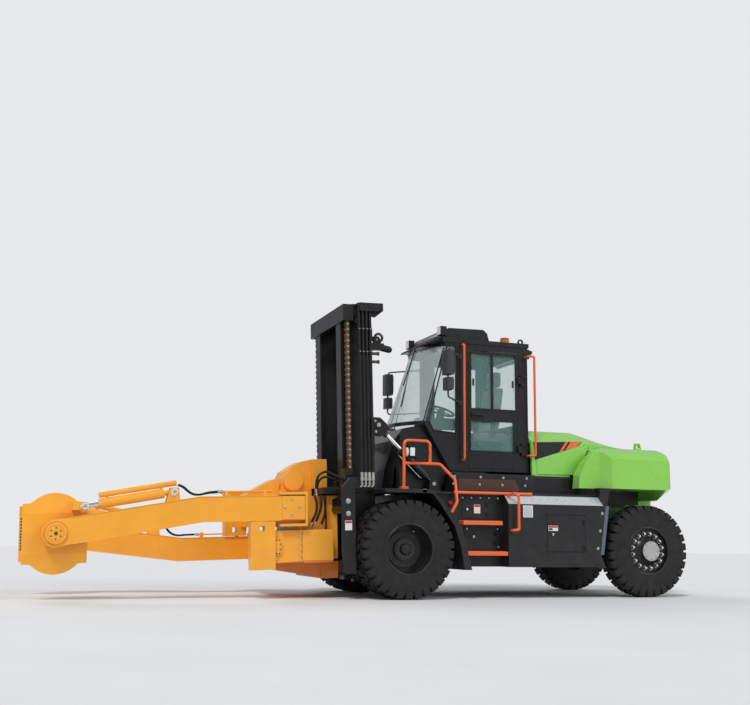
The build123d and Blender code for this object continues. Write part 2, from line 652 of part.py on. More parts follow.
def counterweight():
    """Cast tail: arched over the steered wheels, with a low centre block."""
    body = weight_body()
    seat_cut = block(REAR + 675, REAR + 1510, -700, 700, 1300, 2200)
    side_cut = block(REAR + 665, REAR + 1110, -BODY_Y + 320, BODY_Y - 320, 1300, 2200)
    low = block(REAR - 610, REAR + 590, -340, 340, 480, ARCH_TOP + 10)
    low = low - block(-WHEELBASE - 330, -WHEELBASE + 330, -400, 400, 300, 1262)
    low = low - block(REAR - 690, REAR + 610, -201, 201, 1249, FRAME_TOP + 1)
    eye = side_plate([(REAR - 705, 1960), (REAR - 695, 2050), (REAR - 670, 2190), (REAR - 600, 2190), (REAR - 575, 2050), (REAR - 565, 1960)], -30, 30)
    eye = eye - rod((REAR - 635, -40, 2135), (REAR - 635, 40, 2135), 32)
    return joined([body - seat_cut - side_cut, low, eye])


# Mast, modelled upright
RAIL_LOW = 230
OUTER_TOP = MAST_TOP - 235
CHAIN_X = 587
CHAIN_Y = 660
CHAIN_T = 32
SHEAVE_R = 45
SHEAVE_X = CHAIN_X - CHAIN_T / 2 - SHEAVE_R - 0.3
SHEAVE_Z = MAST_TOP - 120
LIFT_X = 256
LIFT_Y = 290
LIFT_R = 58
LIFT_ROD = 40
LIFT_SPLIT = 1960
EYE_X = 172
EYE_Z = 2200
TILT_Y = 612
TILT_R = 52
TILT_ROD = 30
PIN_R = 32
PIN_HALF = 33
EYE_R = 46


def outer_rail():
    web = block(OUTER_REAR, OUTER_FRONT, OUTER_OUT - 32, OUTER_OUT, RAIL_LOW - 30, OUTER_TOP)
    front = block(OUTER_FRONT - 26, OUTER_FRONT, INNER_OUT + 10, OUTER_OUT, RAIL_LOW - 30, OUTER_TOP)
    rear = block(OUTER_REAR, OUTER_REAR + 30, INNER_IN, OUTER_OUT, RAIL_LOW - 30, OUTER_TOP)
    foot = side_plate([(430, 380), (540, 440), (560, 560), (480, 650), (OUTER_REAR, 700), (OUTER_REAR, 520)], OUTER_OUT - 30, OUTER_OUT)
    return joined([web, front, rear, foot])


def mast_ear():
    """Bracket on the rail's side that carries the tilt rod's pin."""
    ear = [(254, 2294), (EYE_X - 2, 2289), (EYE_X - 78, 2180), (EYE_X - 62, 2090), (OUTER_REAR + 20, 2060)]
    near = side_plate(ear, OUTER_OUT + 0.3, TILT_Y - 34)
    far = side_plate(ear, TILT_Y + 34, TILT_Y + 52)
    top = block(OUTER_REAR, 254, OUTER_OUT + 0.3, TILT_Y + 52, 2262, 2294)
    near_head = rod((EYE_X, TILT_Y - 49, EYE_Z), (EYE_X, TILT_Y - 40, EYE_Z), PIN_R)
    far_head = rod((EYE_X, TILT_Y + 40, EYE_Z), (EYE_X, TILT_Y + 62, EYE_Z), PIN_R)
    return joined([near, far, top, near_head, far_head])


def outer_mast():
    rail = outer_rail()
    cross = [(250, 370), (1900, 2080), (MAST_TOP - 445, MAST_TOP - 275)]
    ties = [block(OUTER_REAR - 8, OUTER_REAR + 28, -OUTER_OUT, OUTER_OUT, z0, z1) for z0, z1 in cross]
    base = block(OUTER_REAR - 20, 300, -INNER_IN - 20, INNER_IN + 20, 215, 260)
    eyes = []
    for s in (-1, 1):
        eye = side_plate([(OUTER_REAR - 30, MAST_TOP - 375), (100, MAST_TOP - 375), (60, MAST_TOP - 445), (OUTER_REAR - 30, MAST_TOP - 525)], s * 520 - 20, s * 520 + 20)
        eyes.append(eye - rod((115, s * 520 - 30, MAST_TOP - 425), (115, s * 520 + 30, MAST_TOP - 425), 22))
    barrels = [rod((LIFT_X, s * LIFT_Y, 250), (LIFT_X, s * LIFT_Y, LIFT_SPLIT), LIFT_R) for s in (-1, 1)]
    lugs = []
    for s in (-1, 1):
        outline = [(OUTER_REAR - 40, 260), (OUTER_REAR - 40, 440), (205, 486), (270, 486), (290, 440), (280, 380), (235, 255)]
        for near in (120, 190):
            y0, y1 = sorted((s * near, s * (near + 30)))
            lugs.append(side_plate(outline, y0, y1))
        lugs.append(rod((MAST_PIN_X, s * 121, MAST_PIN_Z), (MAST_PIN_X, s * 219, MAST_PIN_Z), MAST_PIN_R))
    mast = joined([rail, other_side(rail), base] + ties + eyes + barrels + lugs)
    for s in (-1, 1):
        mast = mast - rod((LIFT_X, s * LIFT_Y, 380), (LIFT_X, s * LIFT_Y, LIFT_SPLIT + 1), LIFT_ROD + RUN_FIT)
        mast = mast - rod((LIFT_X, s * LIFT_Y, LIFT_SPLIT), (LIFT_X, s * LIFT_Y, OUTER_TOP), LIFT_ROD + 6)
    return mast


def inner_rail():
    top = MAST_TOP - 80
    web = block(INNER_FRONT - INNER_DEPTH, INNER_FRONT, INNER_OUT - 30, INNER_OUT, RAIL_LOW, top)
    front = block(INNER_FRONT - 30, INNER_FRONT, INNER_IN, OUTER_OUT - 4, RAIL_LOW, top)
    rear = block(INNER_FRONT - INNER_DEPTH - 30, INNER_FRONT - INNER_DEPTH, INNER_IN, OUTER_OUT - 45, RAIL_LOW, top)
    return joined([web, front, rear])


def inner_mast():
    """Rails, the top crossmember with its end sheaves, and the tie at the foot."""
    rail = inner_rail()
    plate = block(INNER_FRONT - 10, INNER_FRONT + 20, -750, 750, MAST_TOP - 215, MAST_TOP)
    shelf = block(INNER_FRONT - 330, INNER_FRONT, -750, 750, MAST_TOP - 30, MAST_TOP)
    under = block(INNER_FRONT - 330, INNER_FRONT - 300, -OUTER_OUT, OUTER_OUT, MAST_TOP - 175, MAST_TOP)
    ends = [block(INNER_FRONT - 120, INNER_FRONT + 15, s * 730, s * 750, MAST_TOP - 215, MAST_TOP) for s in (-1, 1)]
    webs = [block(INNER_FRONT - 330, INNER_FRONT, s * 440, s * 470, MAST_TOP - 175, MAST_TOP) for s in (-1, 1)]
    tie = block(INNER_FRONT - INNER_DEPTH - 25, INNER_FRONT - INNER_DEPTH, -INNER_IN - 5, INNER_IN + 5, 1500, 1640)
    foot = block(INNER_FRONT - INNER_DEPTH - 25, INNER_FRONT - INNER_DEPTH, -INNER_IN - 5, INNER_IN + 5, 262, 380)
    caps = [rod((LIFT_X, s * LIFT_Y, MAST_TOP - 205), (LIFT_X, s * LIFT_Y, MAST_TOP - 5), 60) for s in (-1, 1)]
    cap_shelf = block(LIFT_X - 70, INNER_FRONT, -LIFT_Y - 65, LIFT_Y + 65, MAST_TOP - 30, MAST_TOP)
    sheaves = []
    for s in (-1, 1):
        y0 = s * (CHAIN_Y - 40)
        y1 = s * (CHAIN_Y + 40)
        sheaves.append(rod((SHEAVE_X, y0, SHEAVE_Z), (SHEAVE_X, y1, SHEAVE_Z), SHEAVE_R))
        sheaves.append(rod((SHEAVE_X, s * 545, SHEAVE_Z), (SHEAVE_X, s * 735, SHEAVE_Z), 20))
    box = block(115, 446, 660, 780, MAST_TOP - 81, MAST_TOP + 25)
    arm = side_plate([(446, MAST_TOP - 81), (446, MAST_TOP + 15), (INNER_FRONT, MAST_TOP - 5), (INNER_FRONT, MAST_TOP - 175), (540, MAST_TOP - 175)], 700, 735)
    gusset = side_plate([(115, MAST_TOP - 75), (446, MAST_TOP - 75), (446, MAST_TOP - 135), (225, MAST_TOP - 164)], 740, 775)
    rods = [rod((LIFT_X, s * LIFT_Y, LIFT_SPLIT - LIFT - 60), (LIFT_X, s * LIFT_Y, MAST_TOP - 175), LIFT_ROD) for s in (-1, 1)]
    shapes = [rail, other_side(rail), plate, shelf, under, tie, foot, cap_shelf, box, arm, gusset]
    return joined(shapes + ends + webs + caps + sheaves + rods)


def chains():
    """Leaf chains over the end sheaves, one plain band each."""
    bands = []
    for s in (-1, 1):
        y0 = s * CHAIN_Y - 36
        y1 = s * CHAIN_Y + 36
        front = block(CHAIN_X - CHAIN_T / 2, CHAIN_X + CHAIN_T / 2, y0, y1, 1600, SHEAVE_Z)
        over = ring((SHEAVE_X, y0, SHEAVE_Z), (SHEAVE_X, y1, SHEAVE_Z), SHEAVE_R + CHAIN_T + 0.3, SHEAVE_R + 0.3)
        over = over & block(SHEAVE_X - 200, SHEAVE_X + 200, y0 - 1, y1 + 1, SHEAVE_Z, SHEAVE_Z + 200)
        back_x = 2 * SHEAVE_X - CHAIN_X
        back = block(back_x - CHAIN_T / 2, back_x + CHAIN_T / 2, y0, y1, OUTER_TOP + 12, SHEAVE_Z)
        bands.append(joined([front, over, back]))
    return Compound(children=bands)


# Tilt cylinders, in the truck's frame
BARREL_X = -560
BARREL_Z = 1465
GLAND = 640


def along_tilt(distance):
    x, z = leaned(EYE_X, EYE_Z)
    length = math.hypot(x - BARREL_X, z - BARREL_Z)
    share = distance / length
    return BARREL_X + (x - BARREL_X) * share, TILT_Y, BARREL_Z + (z - BARREL_Z) * share


def tilt_barrel():
    eye = ring((BARREL_X, TILT_Y - 28, BARREL_Z), (BARREL_X, TILT_Y + 28, BARREL_Z), 58, PIN_R + RUN_FIT)
    neck = rod(along_tilt(45), along_tilt(135), 29)
    body = rod(along_tilt(130), along_tilt(GLAND), TILT_R)
    collar = rod(along_tilt(GLAND - 40), along_tilt(GLAND), TILT_R + 9)
    bore = rod(along_tilt(145), along_tilt(GLAND + 1), TILT_ROD + RUN_FIT)
    return joined([eye, neck, body, collar]) - bore


def tilt_rod():
    x, z = leaned(EYE_X, EYE_Z)
    length = math.hypot(x - BARREL_X, z - BARREL_Z)
    shaft = rod(along_tilt(345), along_tilt(length - 30), TILT_ROD)
    eye = rod((x, TILT_Y - 28, z), (x, TILT_Y + 28, z), EYE_R)
    pin = rod((x, TILT_Y - PIN_HALF, z), (x, TILT_Y + PIN_HALF, z), PIN_R)
    return joined([shaft, eye, pin])


def tilt_bracket():
    z0 = DECK_TOP + 25
    base = block(BARREL_X - 90, BARREL_X + 90, TILT_Y - 62, TILT_Y + 62, z0, z0 + 25)
    outline = [(BARREL_X - 80, z0), (BARREL_X - 55, BARREL_Z + 50), (BARREL_X + 55, BARREL_Z + 50), (BARREL_X + 80, z0)]
    ears = [side_plate(outline, TILT_Y + offset - 10, TILT_Y + offset + 10) for offset in (-42, 42)]
    pin = rod((BARREL_X, TILT_Y - 52, BARREL_Z), (BARREL_X, TILT_Y + 52, BARREL_Z), PIN_R)
    return joined([base, pin] + ears)


# Carriage and gripper, in the mast's upright frame
CARRIAGE_X = 655
ROLLER_R = 134.7
PLATE_Y = 1045
PLATE_OUTLINE = [(655, 320), (798, 320), (831, 560), (831, 1378), (719, 1491), (655, 1491)]
AXIS_Z = 889
HEAD_Y = 800
BACK_X = 740.3
CYL_X = 2850
CYL_Z = 1352
FAR_CYL_Z = 955
EAR_X = PAD_X - 320
EAR_Z = 1195
PAD_PIN = 70
PAD_L = 365
PAD_CORNER = 345
PAD_LOBE = 470
PAD_T = 55


def carriage():
    shapes = []
    for s in (-1, 1):
        shapes.append(block(420, CARRIAGE_X + 10, s * 300, s * 345, 330, 1450))
        for z in (480, 1280):
            shapes.append(rod((480, s * 335, z), (480, s * 432, z), ROLLER_R))
        shapes.append(block(CARRIAGE_X, CARRIAGE_X + 45, s * 290, s * 420, 330, 1480))
        y0, y1 = sorted((s * (PLATE_Y - 2), s * (PLATE_Y + 25)))
        shapes.append(side_plate(PLATE_OUTLINE, y0, y1))
        for edge in (-56, 38):
            y0, y1 = sorted((s * CHAIN_Y + edge, s * CHAIN_Y + edge + 18))
            shapes.append(block(CHAIN_X - 30, CARRIAGE_X + 10, y0, y1, 1540, 1625))
        shapes.append(block(CARRIAGE_X, CARRIAGE_X + 30, s * 560, s * 760, 1230, 1625))
    shapes.append(block(CARRIAGE_X, 740, -PLATE_Y, PLATE_Y, 1230, 1370))
    shapes.append(block(CARRIAGE_X, 740, -PLATE_Y, PLATE_Y, 330, 480))
    shapes.append(block(735, 942, -700, 700, 1310, 1394))
    shapes.append(rod((757, -PLATE_Y, 1113), (757, PLATE_Y, 1113), 57))
    return joined(shapes)


def clamp_frame():
    """Gripper head: rear box, two slide housings, front guides and drive block."""
    rear = block(861, 1255, -500, HEAD_Y, 462, 866)
    rear = fillet(rear.edges().filter_by(Axis.Y), 30)
    low = block(1250, 1636, -500, HEAD_Y - 20, 470, 865)
    low = low - block(1286, 1610, -501, HEAD_Y - 60, 500, 835)
    top = Pos(0, 0, 2 * AXIS_Z) * mirror(mirror(low, Plane.XY), Plane.XZ)
    top_body = top + block(869, 1255, -500, 500, 860, 1290)
    guides = []
    guide = block(1620, 1924, HEAD_Y - 90, HEAD_Y + 60, 397, 978) - block(1749, 1816, 600, 1000, 863, 925)
    guide = guide + block(1600, 1700, HEAD_Y - 120, HEAD_Y - 60, 480, 860)
    guides.append(guide)
    guides.append(Pos(0, 0, 2 * AXIS_Z) * mirror(mirror(guide, Plane.XY), Plane.XZ))
    tube_hole = rod((757, -700, 1113), (757, 700, 1113), 57.3)
    plates = [block(BACK_X, 869, s * 560, s * 600, 500, 1289) - tube_hole for s in (-1, 1)]
    lower_frame = block(BACK_X, 960, -600, 600, 258, 470)
    step = side_plate([(924, 470), (924, 270), (1500, 374), (1626, 426), (1626, 480)], -520, 560)
    block_top = block(767, 970, -265, 265, 1394.3, 1776)
    shoulder = side_plate([(960, 1290), (960, 1776), (1091, 1751), (1198, 1699), (1320, 1620), (1400, 1285)], -200, 200)
    drum = rod((1220, -260, 1500), (1220, 260, 1500), 130)
    slope = side_plate([(1380, 1285), (1380, 1490), (1463, 1522), (1840, 1324), (1840, 1285)], -150, 150)
    shapes = [rear, low, top_body] + guides + plates
    return joined(shapes + [lower_frame, step, block_top, shoulder, drum, slope])


def arm_top(x):
    """Height of the beam's upper edge between its bend and its end."""
    share = (x - ARM_BEND - 25) / (4066 - ARM_BEND - 25)
    return ARM_Z + ARM_H / 2 + (1062 - ARM_Z - ARM_H / 2) * max(0, share)


def far_arm_top(x):
    """The same on the right arm, which is the left one turned half round the X axis."""
    share = (x - ARM_BEND + 25) / (4019 - ARM_BEND + 25)
    low = ARM_Z - ARM_H / 2
    return 2 * AXIS_Z - low + (low - 765) * share


def clevis(eye_z, edge):
    """Lugs and pin of the pad cylinder on the upper edge of an arm."""
    lug = [(CYL_X - 70, edge(CYL_X - 70) - 30), (CYL_X - 50, eye_z + 48), (CYL_X + 50, eye_z + 48),
           (CYL_X + 110, edge(CYL_X + 110) - 30)]
    lugs = [side_plate(lug, ARM_Y - 55, ARM_Y - 35), side_plate(lug, ARM_Y + 35, ARM_Y + 55)]
    return joined(lugs + [rod((CYL_X, ARM_Y - 55, eye_z), (CYL_X, ARM_Y + 55, eye_z), 26)])


def arm_beam():
    """Left arm with its slide beam and root frame, at rest."""
    half = ARM_T / 2
    y0 = ARM_Y - half
    y1 = ARM_Y + half
    top = ARM_Z + ARM_H / 2
    low = ARM_Z - ARM_H / 2
    outline = [
        (1235, low), (1235, top), (ARM_BEND + 25, top), (4066, 1062), (PAD_X, AXIS_Z + 160),
        (PAD_X, AXIS_Z - 160), (4019, 765), (ARM_BEND - 25, low),
    ]
    beam = side_plate(outline, y0, y1)
    eye = rod((PAD_X, y0, AXIS_Z), (PAD_X, y1, AXIS_Z), 160)
    frame = block(1209, 1560, ARM_Y - 65, ARM_Y + 75, 912, 1332)
    frame = frame - block(1235, 1600, ARM_Y - 40, ARM_Y + 80, 945, 1300)
    slide = block(1291, 1605, -300, ARM_Y - 60, 943.3, 1277.7)
    slide = slide - block(1311, 1585, -301, ARM_Y - 100, 963, 1258)
    bore = rod((PAD_X, y0 - 1, AXIS_Z), (PAD_X, y1 + 1, AXIS_Z), PAD_PIN + RUN_FIT)
    return joined([beam, eye, frame, slide]) - bore


def pad():
    """Lobed gripping plate, folded inward at top and bottom, with its shaft and ear."""
    upper = [(PAD_X + PAD_L, AXIS_Z + PAD_CORNER), (PAD_X + 265, AXIS_Z + PAD_CORNER + 6)]
    peak = (PAD_X, AXIS_Z + PAD_LOBE)
    y0 = 500
    right = Polyline((PAD_X + 265, y0, 2 * AXIS_Z - upper[1][1]), (PAD_X + PAD_L, y0, AXIS_Z - PAD_CORNER),
                     (PAD_X + PAD_L, y0, AXIS_Z + PAD_CORNER), (PAD_X + 265, y0, upper[1][1]))
    over = ThreePointArc((PAD_X + 265, y0, upper[1][1]), (PAD_X, y0, peak[1]), (PAD_X - 265, y0, upper[1][1]))
    left = Polyline((PAD_X - 265, y0, upper[1][1]), (PAD_X - PAD_L, y0, AXIS_Z + PAD_CORNER),
                    (PAD_X - PAD_L, y0, AXIS_Z - PAD_CORNER), (PAD_X - 265, y0, 2 * AXIS_Z - upper[1][1]))
    under = ThreePointArc((PAD_X - 265, y0, 2 * AXIS_Z - upper[1][1]), (PAD_X, y0, AXIS_Z - PAD_LOBE),
                          (PAD_X + 265, y0, 2 * AXIS_Z - upper[1][1]))
    outline = extrude(make_face([right, over, left, under]), amount=250, dir=LEFT)
    fold = 235
    face_y = 665
    strip = [
        (face_y, AXIS_Z - fold), (face_y, AXIS_Z + fold), (face_y - 65, AXIS_Z + 490), (face_y - 65 - PAD_T, AXIS_Z + 490),
        (face_y - PAD_T, AXIS_Z + fold), (face_y - PAD_T, AXIS_Z - fold),
        (face_y - 65 - PAD_T, AXIS_Z - 490), (face_y - 65, AXIS_Z - 490),
    ]
    plate = outline & front_plate(strip, PAD_X - 400, PAD_X + 400)
    inner = ARM_Y - ARM_T / 2
    outer = ARM_Y + ARM_T / 2
    hub = rod((PAD_X, face_y - 5, AXIS_Z), (PAD_X, inner - 0.6, AXIS_Z), 130)
    shaft = rod((PAD_X, face_y, AXIS_Z), (PAD_X, outer + 2, AXIS_Z), PAD_PIN)
    cap = rod((PAD_X, outer + 0.6, AXIS_Z), (PAD_X, outer + 26, AXIS_Z), 118)
    bridge = block(EAR_X + 78, EAR_X + 140, face_y - 60, ARM_Y + 58, 1150, 1250)
    ears = []
    for y in (ARM_Y - 58, ARM_Y + 36):
        outline = [(EAR_X + 90, 1150), (EAR_X - 30, 1155), (EAR_X - 46, EAR_Z), (EAR_X - 30, 1238), (EAR_X + 90, 1250)]
        ears.append(side_plate(outline, y, y + 22))
    heads = [rod((EAR_X, ARM_Y + s * 40, EAR_Z), (EAR_X, ARM_Y + s * 64, EAR_Z), 24) for s in (-1, 1)]
    return joined([plate, hub, shaft, cap, bridge] + ears + heads)


PAD_GLAND = 880


def along_cylinder(eye_z):
    """Length of the cylinder from its clevis to the pad's ear, and a function for points along it."""
    length = math.hypot(EAR_X - CYL_X, EAR_Z - eye_z)
    ux = (EAR_X - CYL_X) / length
    uz = (EAR_Z - eye_z) / length

    def point(distance, lift=0):
        return CYL_X + ux * distance - uz * lift, ARM_Y, eye_z + uz * distance + ux * lift
    return length, point


def pad_barrel(eye_z):
    point = along_cylinder(eye_z)[1]
    eye = ring((CYL_X, ARM_Y - 32, eye_z), (CYL_X, ARM_Y + 32, eye_z), 48, 26 + RUN_FIT)
    neck = rod(point(36), point(130), 31)
    body = rod(point(125), point(PAD_GLAND), 58)
    guard = rod(point(-40, 100), point(PAD_GLAND - 10, 100), 33)
    clips = [rod(point(d, 40), point(d, 90), 16) for d in (150, 780)]
    bore = rod(point(140), point(PAD_GLAND + 1), 30 + RUN_FIT)
    return joined([eye, neck, body, guard] + clips) - bore


def pad_rod(eye_z):
    length, point = along_cylinder(eye_z)
    shaft = rod(point(360), point(length - 20), 30)
    eye = rod((EAR_X, ARM_Y - 32, EAR_Z), (EAR_X, ARM_Y + 32, EAR_Z), 42)
    pin = rod((EAR_X, ARM_Y - 35, EAR_Z), (EAR_X, ARM_Y + 35, EAR_Z), 24)
    return joined([shaft, eye, pin])


def turned_over(shape):
    """The right arm's beam: the left one turned half round the X axis."""
    return Pos(0, 0, 2 * AXIS_Z) * (Rot(180, 0, 0) * shape)


# Export: the mast group leans forward, then everything moves to the origin
def lean(shape):
    return Pos(PIVOT_X, 0, PIVOT_Z) * (Rot(0, LEAN, 0) * (Pos(-PIVOT_X, 0, -PIVOT_Z) * shape))


def build():
    nodes = {}
    for name, maker in (
        ("chassis_frame", chassis_frame), ("battery_block", battery), ("platform_deck", deck),
        ("drive_axle", drive_axle), ("steer_axle", steer_axle), ("cab_shell", cab_shell),
        ("cab_glass", cab_glass), ("cab_door", cab_door), ("cab_door_glass", cab_door_glass),
        ("cab_cowl", cowl), ("cab_roof", cab_roof), ("driver_seat", seat),
        ("steering_column", steering_column), ("hood", hood), ("counterweight", counterweight),
    ):
        nodes[name] = maker()
    for name, maker in (
        ("side_cabinets", cabinet), ("step_lockers", step_box), ("step_treads", step_treads),
        ("fenders", fender), ("mirrors", mirror_set), ("tilt_brackets", tilt_bracket),
    ):
        nodes[name] = both_sides(maker())
    nodes["handrails"] = Compound(children=[both_sides(handrails()), both_sides(cab_rails())])
    nodes["lamps"] = Compound(children=[both_sides(headlamp()), roof_lamps()])
    for name, maker in (
        ("cabinet_door", cabinet_door), ("front_tyres", front_tyres), ("front_rims", front_rims),
        ("rear_tyre", rear_tyre), ("rear_rim", rear_rim), ("knuckle", knuckle),
        ("tilt_barrel", tilt_barrel), ("tilt_rod", tilt_rod),
    ):
        shape = maker()
        nodes[name + "_left"] = shape
        nodes[name + "_right"] = other_side(shape)
    for name, maker in (
        ("outer_mast", outer_mast), ("inner_mast", inner_mast), ("mast_chains", chains),
        ("carriage", carriage), ("clamp_frame", clamp_frame),
    ):
        nodes[name] = lean(maker())
    nodes["mast_ears"] = lean(both_sides(mast_ear()))
    beam = arm_beam()
    nodes["arm_left"] = lean(joined([beam, clevis(CYL_Z, arm_top)]))
    nodes["arm_right"] = lean(joined([turned_over(beam), other_side(clevis(FAR_CYL_Z, far_arm_top))]))
    plate = pad()
    nodes["pad_left"] = lean(plate)
    nodes["pad_right"] = lean(other_side(plate))
    for name, maker in (("pad_barrel", pad_barrel), ("pad_rod", pad_rod)):
        nodes[name + "_left"] = lean(maker(CYL_Z))
        nodes[name + "_right"] = lean(other_side(maker(FAR_CYL_Z)))
    return nodes


def export():
    nodes = build()
    boxes = [shape.bounding_box() for shape in nodes.values()]
    low_x = min(box.min.X for box in boxes)
    high_x = max(box.max.X for box in boxes)
    low_z = min(box.min.Z for box in boxes)
    shift = Pos(-(low_x + high_x) / 2, 0, -low_z)
    print("moved by", -(low_x + high_x) / 2, -low_z)
    for name, shape in nodes.items():
        export_step(shift * shape, "parts/" + name + ".step")
    print(len(nodes), "nodes")


export()
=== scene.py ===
import json
import math

import bmesh
import bpy
from mathutils import Matrix, Vector

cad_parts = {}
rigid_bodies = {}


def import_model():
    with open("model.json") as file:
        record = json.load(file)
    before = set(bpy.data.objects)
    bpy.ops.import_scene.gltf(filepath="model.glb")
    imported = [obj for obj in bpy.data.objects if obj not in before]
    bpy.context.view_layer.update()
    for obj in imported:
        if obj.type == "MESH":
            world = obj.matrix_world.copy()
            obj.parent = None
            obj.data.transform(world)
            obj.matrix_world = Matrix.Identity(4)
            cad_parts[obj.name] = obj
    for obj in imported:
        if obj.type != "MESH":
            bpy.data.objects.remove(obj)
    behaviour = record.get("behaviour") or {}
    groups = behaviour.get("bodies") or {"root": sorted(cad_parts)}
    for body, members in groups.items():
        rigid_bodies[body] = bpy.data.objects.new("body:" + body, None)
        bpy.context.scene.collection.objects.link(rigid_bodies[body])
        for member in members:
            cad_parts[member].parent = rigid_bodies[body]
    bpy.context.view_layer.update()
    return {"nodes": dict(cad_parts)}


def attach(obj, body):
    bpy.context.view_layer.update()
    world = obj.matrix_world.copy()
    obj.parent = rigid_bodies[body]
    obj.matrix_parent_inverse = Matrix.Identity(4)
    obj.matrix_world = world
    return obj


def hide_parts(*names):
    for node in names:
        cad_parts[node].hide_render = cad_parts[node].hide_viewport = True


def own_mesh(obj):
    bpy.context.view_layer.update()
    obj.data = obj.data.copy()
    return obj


# Looks of the electric forklift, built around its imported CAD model.
# Points are written in millimetres of the truck's own frame (drive axle at X = 0, floor at Z = 0,
# +X forward, +Y left), and points of the mast and gripper in the upright frame of the mast.
# Radii, thicknesses and bevels are in metres.

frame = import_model()
NODES = frame["nodes"]

MM = 1000
SHIFT_X = -127.784
LEAN = math.radians(1.95)
PIVOT = (480, 560)
AXIS_Z = 889
CHASSIS = "chassis"


def at(x, y, z):
    """A point of the truck's frame, as the row's metres."""
    return Vector(((x + SHIFT_X) / MM, y / MM, z / MM))


def up(x, y, z):
    """A point of the upright mast frame, as the row's metres."""
    dx = x - PIVOT[0]
    dz = z - PIVOT[1]
    c = math.cos(LEAN)
    s = math.sin(LEAN)
    return at(PIVOT[0] + dx * c + dz * s, y, PIVOT[1] - dx * s + dz * c)


def turned(x, y, z):
    """The point opposite to one of the left arm, on the right arm."""
    return up(x, -y, 2 * AXIS_Z - z)


def far(x, y, z):
    """The point across from one on the left of the mast's frame."""
    return up(x, -y, z)


LEFT = Vector((0, 1, 0))
FRONT = Vector((1, 0, 0))
SIDES = ((1, "left"), (-1, "right"))
# Both sides of the gripper: the right one mirrored, or turned half round the arms' middle line
MIRRORED = (("left", up, LEFT), ("right", far, -LEFT))
HALF_TURNED = (("left", up, LEFT), ("right", turned, -LEFT))


# Materials
MIX_FACTOR = 0
MIX_UNDER = 6
MIX_OVER = 7
MIX_RESULT = 2
DUST = (0.36, 0.32, 0.27)
# Dust fades from 0.2 m above the floor to 1.7 m
DUST_FALL = {"From Min": 0.2, "From Max": 1.7, "To Min": 1.0, "To Max": 0.15}
# Painted highlight along the edges: strongest where the bevelled normal turns furthest from the face's own
EDGE_HIGHLIGHT_FALL = {"From Min": 0.985, "From Max": 0.90}


def shader(m):
    return m.node_tree.nodes["Principled BSDF"]


def new_material(name, color, rough, metal=0.0, **more):
    m = bpy.data.materials.new(name)
    m.use_nodes = True
    b = shader(m)
    b.inputs["Base Color"].default_value = (*color, 1)
    b.inputs["Roughness"].default_value = rough
    b.inputs["Metallic"].default_value = metal
    for key, value in more.items():
        b.inputs[key.replace("_", " ")].default_value = value
    m.diffuse_color = (*color, 1)
    return m


def node(m, kind, **values):
    """A new shader node, its sockets and settings given by name."""
    n = m.node_tree.nodes.new(kind)
    for key, value in values.items():
        if key in n.inputs:
            n.inputs[key].default_value = value
        else:
            setattr(n, key, value)
    return n


def link(m, a, out, b, into):
    m.node_tree.links.new(a.outputs[out], b.inputs[into])


def noise(m, scale, detail, rough):
    n = node(m, "ShaderNodeTexNoise", Scale=scale, Detail=detail, Roughness=rough)
    link(m, node(m, "ShaderNodeTexCoord"), "Object", n, "Vector")
    return n


def ramp(m, source, stops):
    """Colours between the two stops, by the strength of a pattern."""
    r = node(m, "ShaderNodeValToRGB")
    for e, (position, color) in zip(r.color_ramp.elements, stops):
        e.position = position
        e.color = (*color, 1)
    link(m, source, "Fac", r, "Fac")
    return r


def uneven(color, spread):
    """Ramp stops a little darker and a little lighter than the colour."""
    return [(0.3, tuple(min(1, c * (1 - spread)) for c in color)),
            (0.7, tuple(min(1, c * (1 + spread)) for c in color))]


def mixed(m, under, amount, out, over):
    """Covers the colour from one node with another as far as the amount says, up to the shader."""
    mix = node(m, "ShaderNodeMix", data_type="RGBA")
    mix.inputs[MIX_OVER].default_value = (*over, 1)
    link(m, amount, out, mix, MIX_FACTOR)
    link(m, under, MIX_RESULT if under.type == "MIX" else "Color", mix, MIX_UNDER)
    link(m, mix, MIX_RESULT, shader(m), "Base Color")
    return mix


def bumped(m, pattern, strength, distance=0.002):
    bump = node(m, "ShaderNodeBump", Strength=strength, Distance=distance)
    link(m, pattern, "Fac", bump, "Height")
    link(m, bump, "Normal", shader(m), "Normal")
    return bump


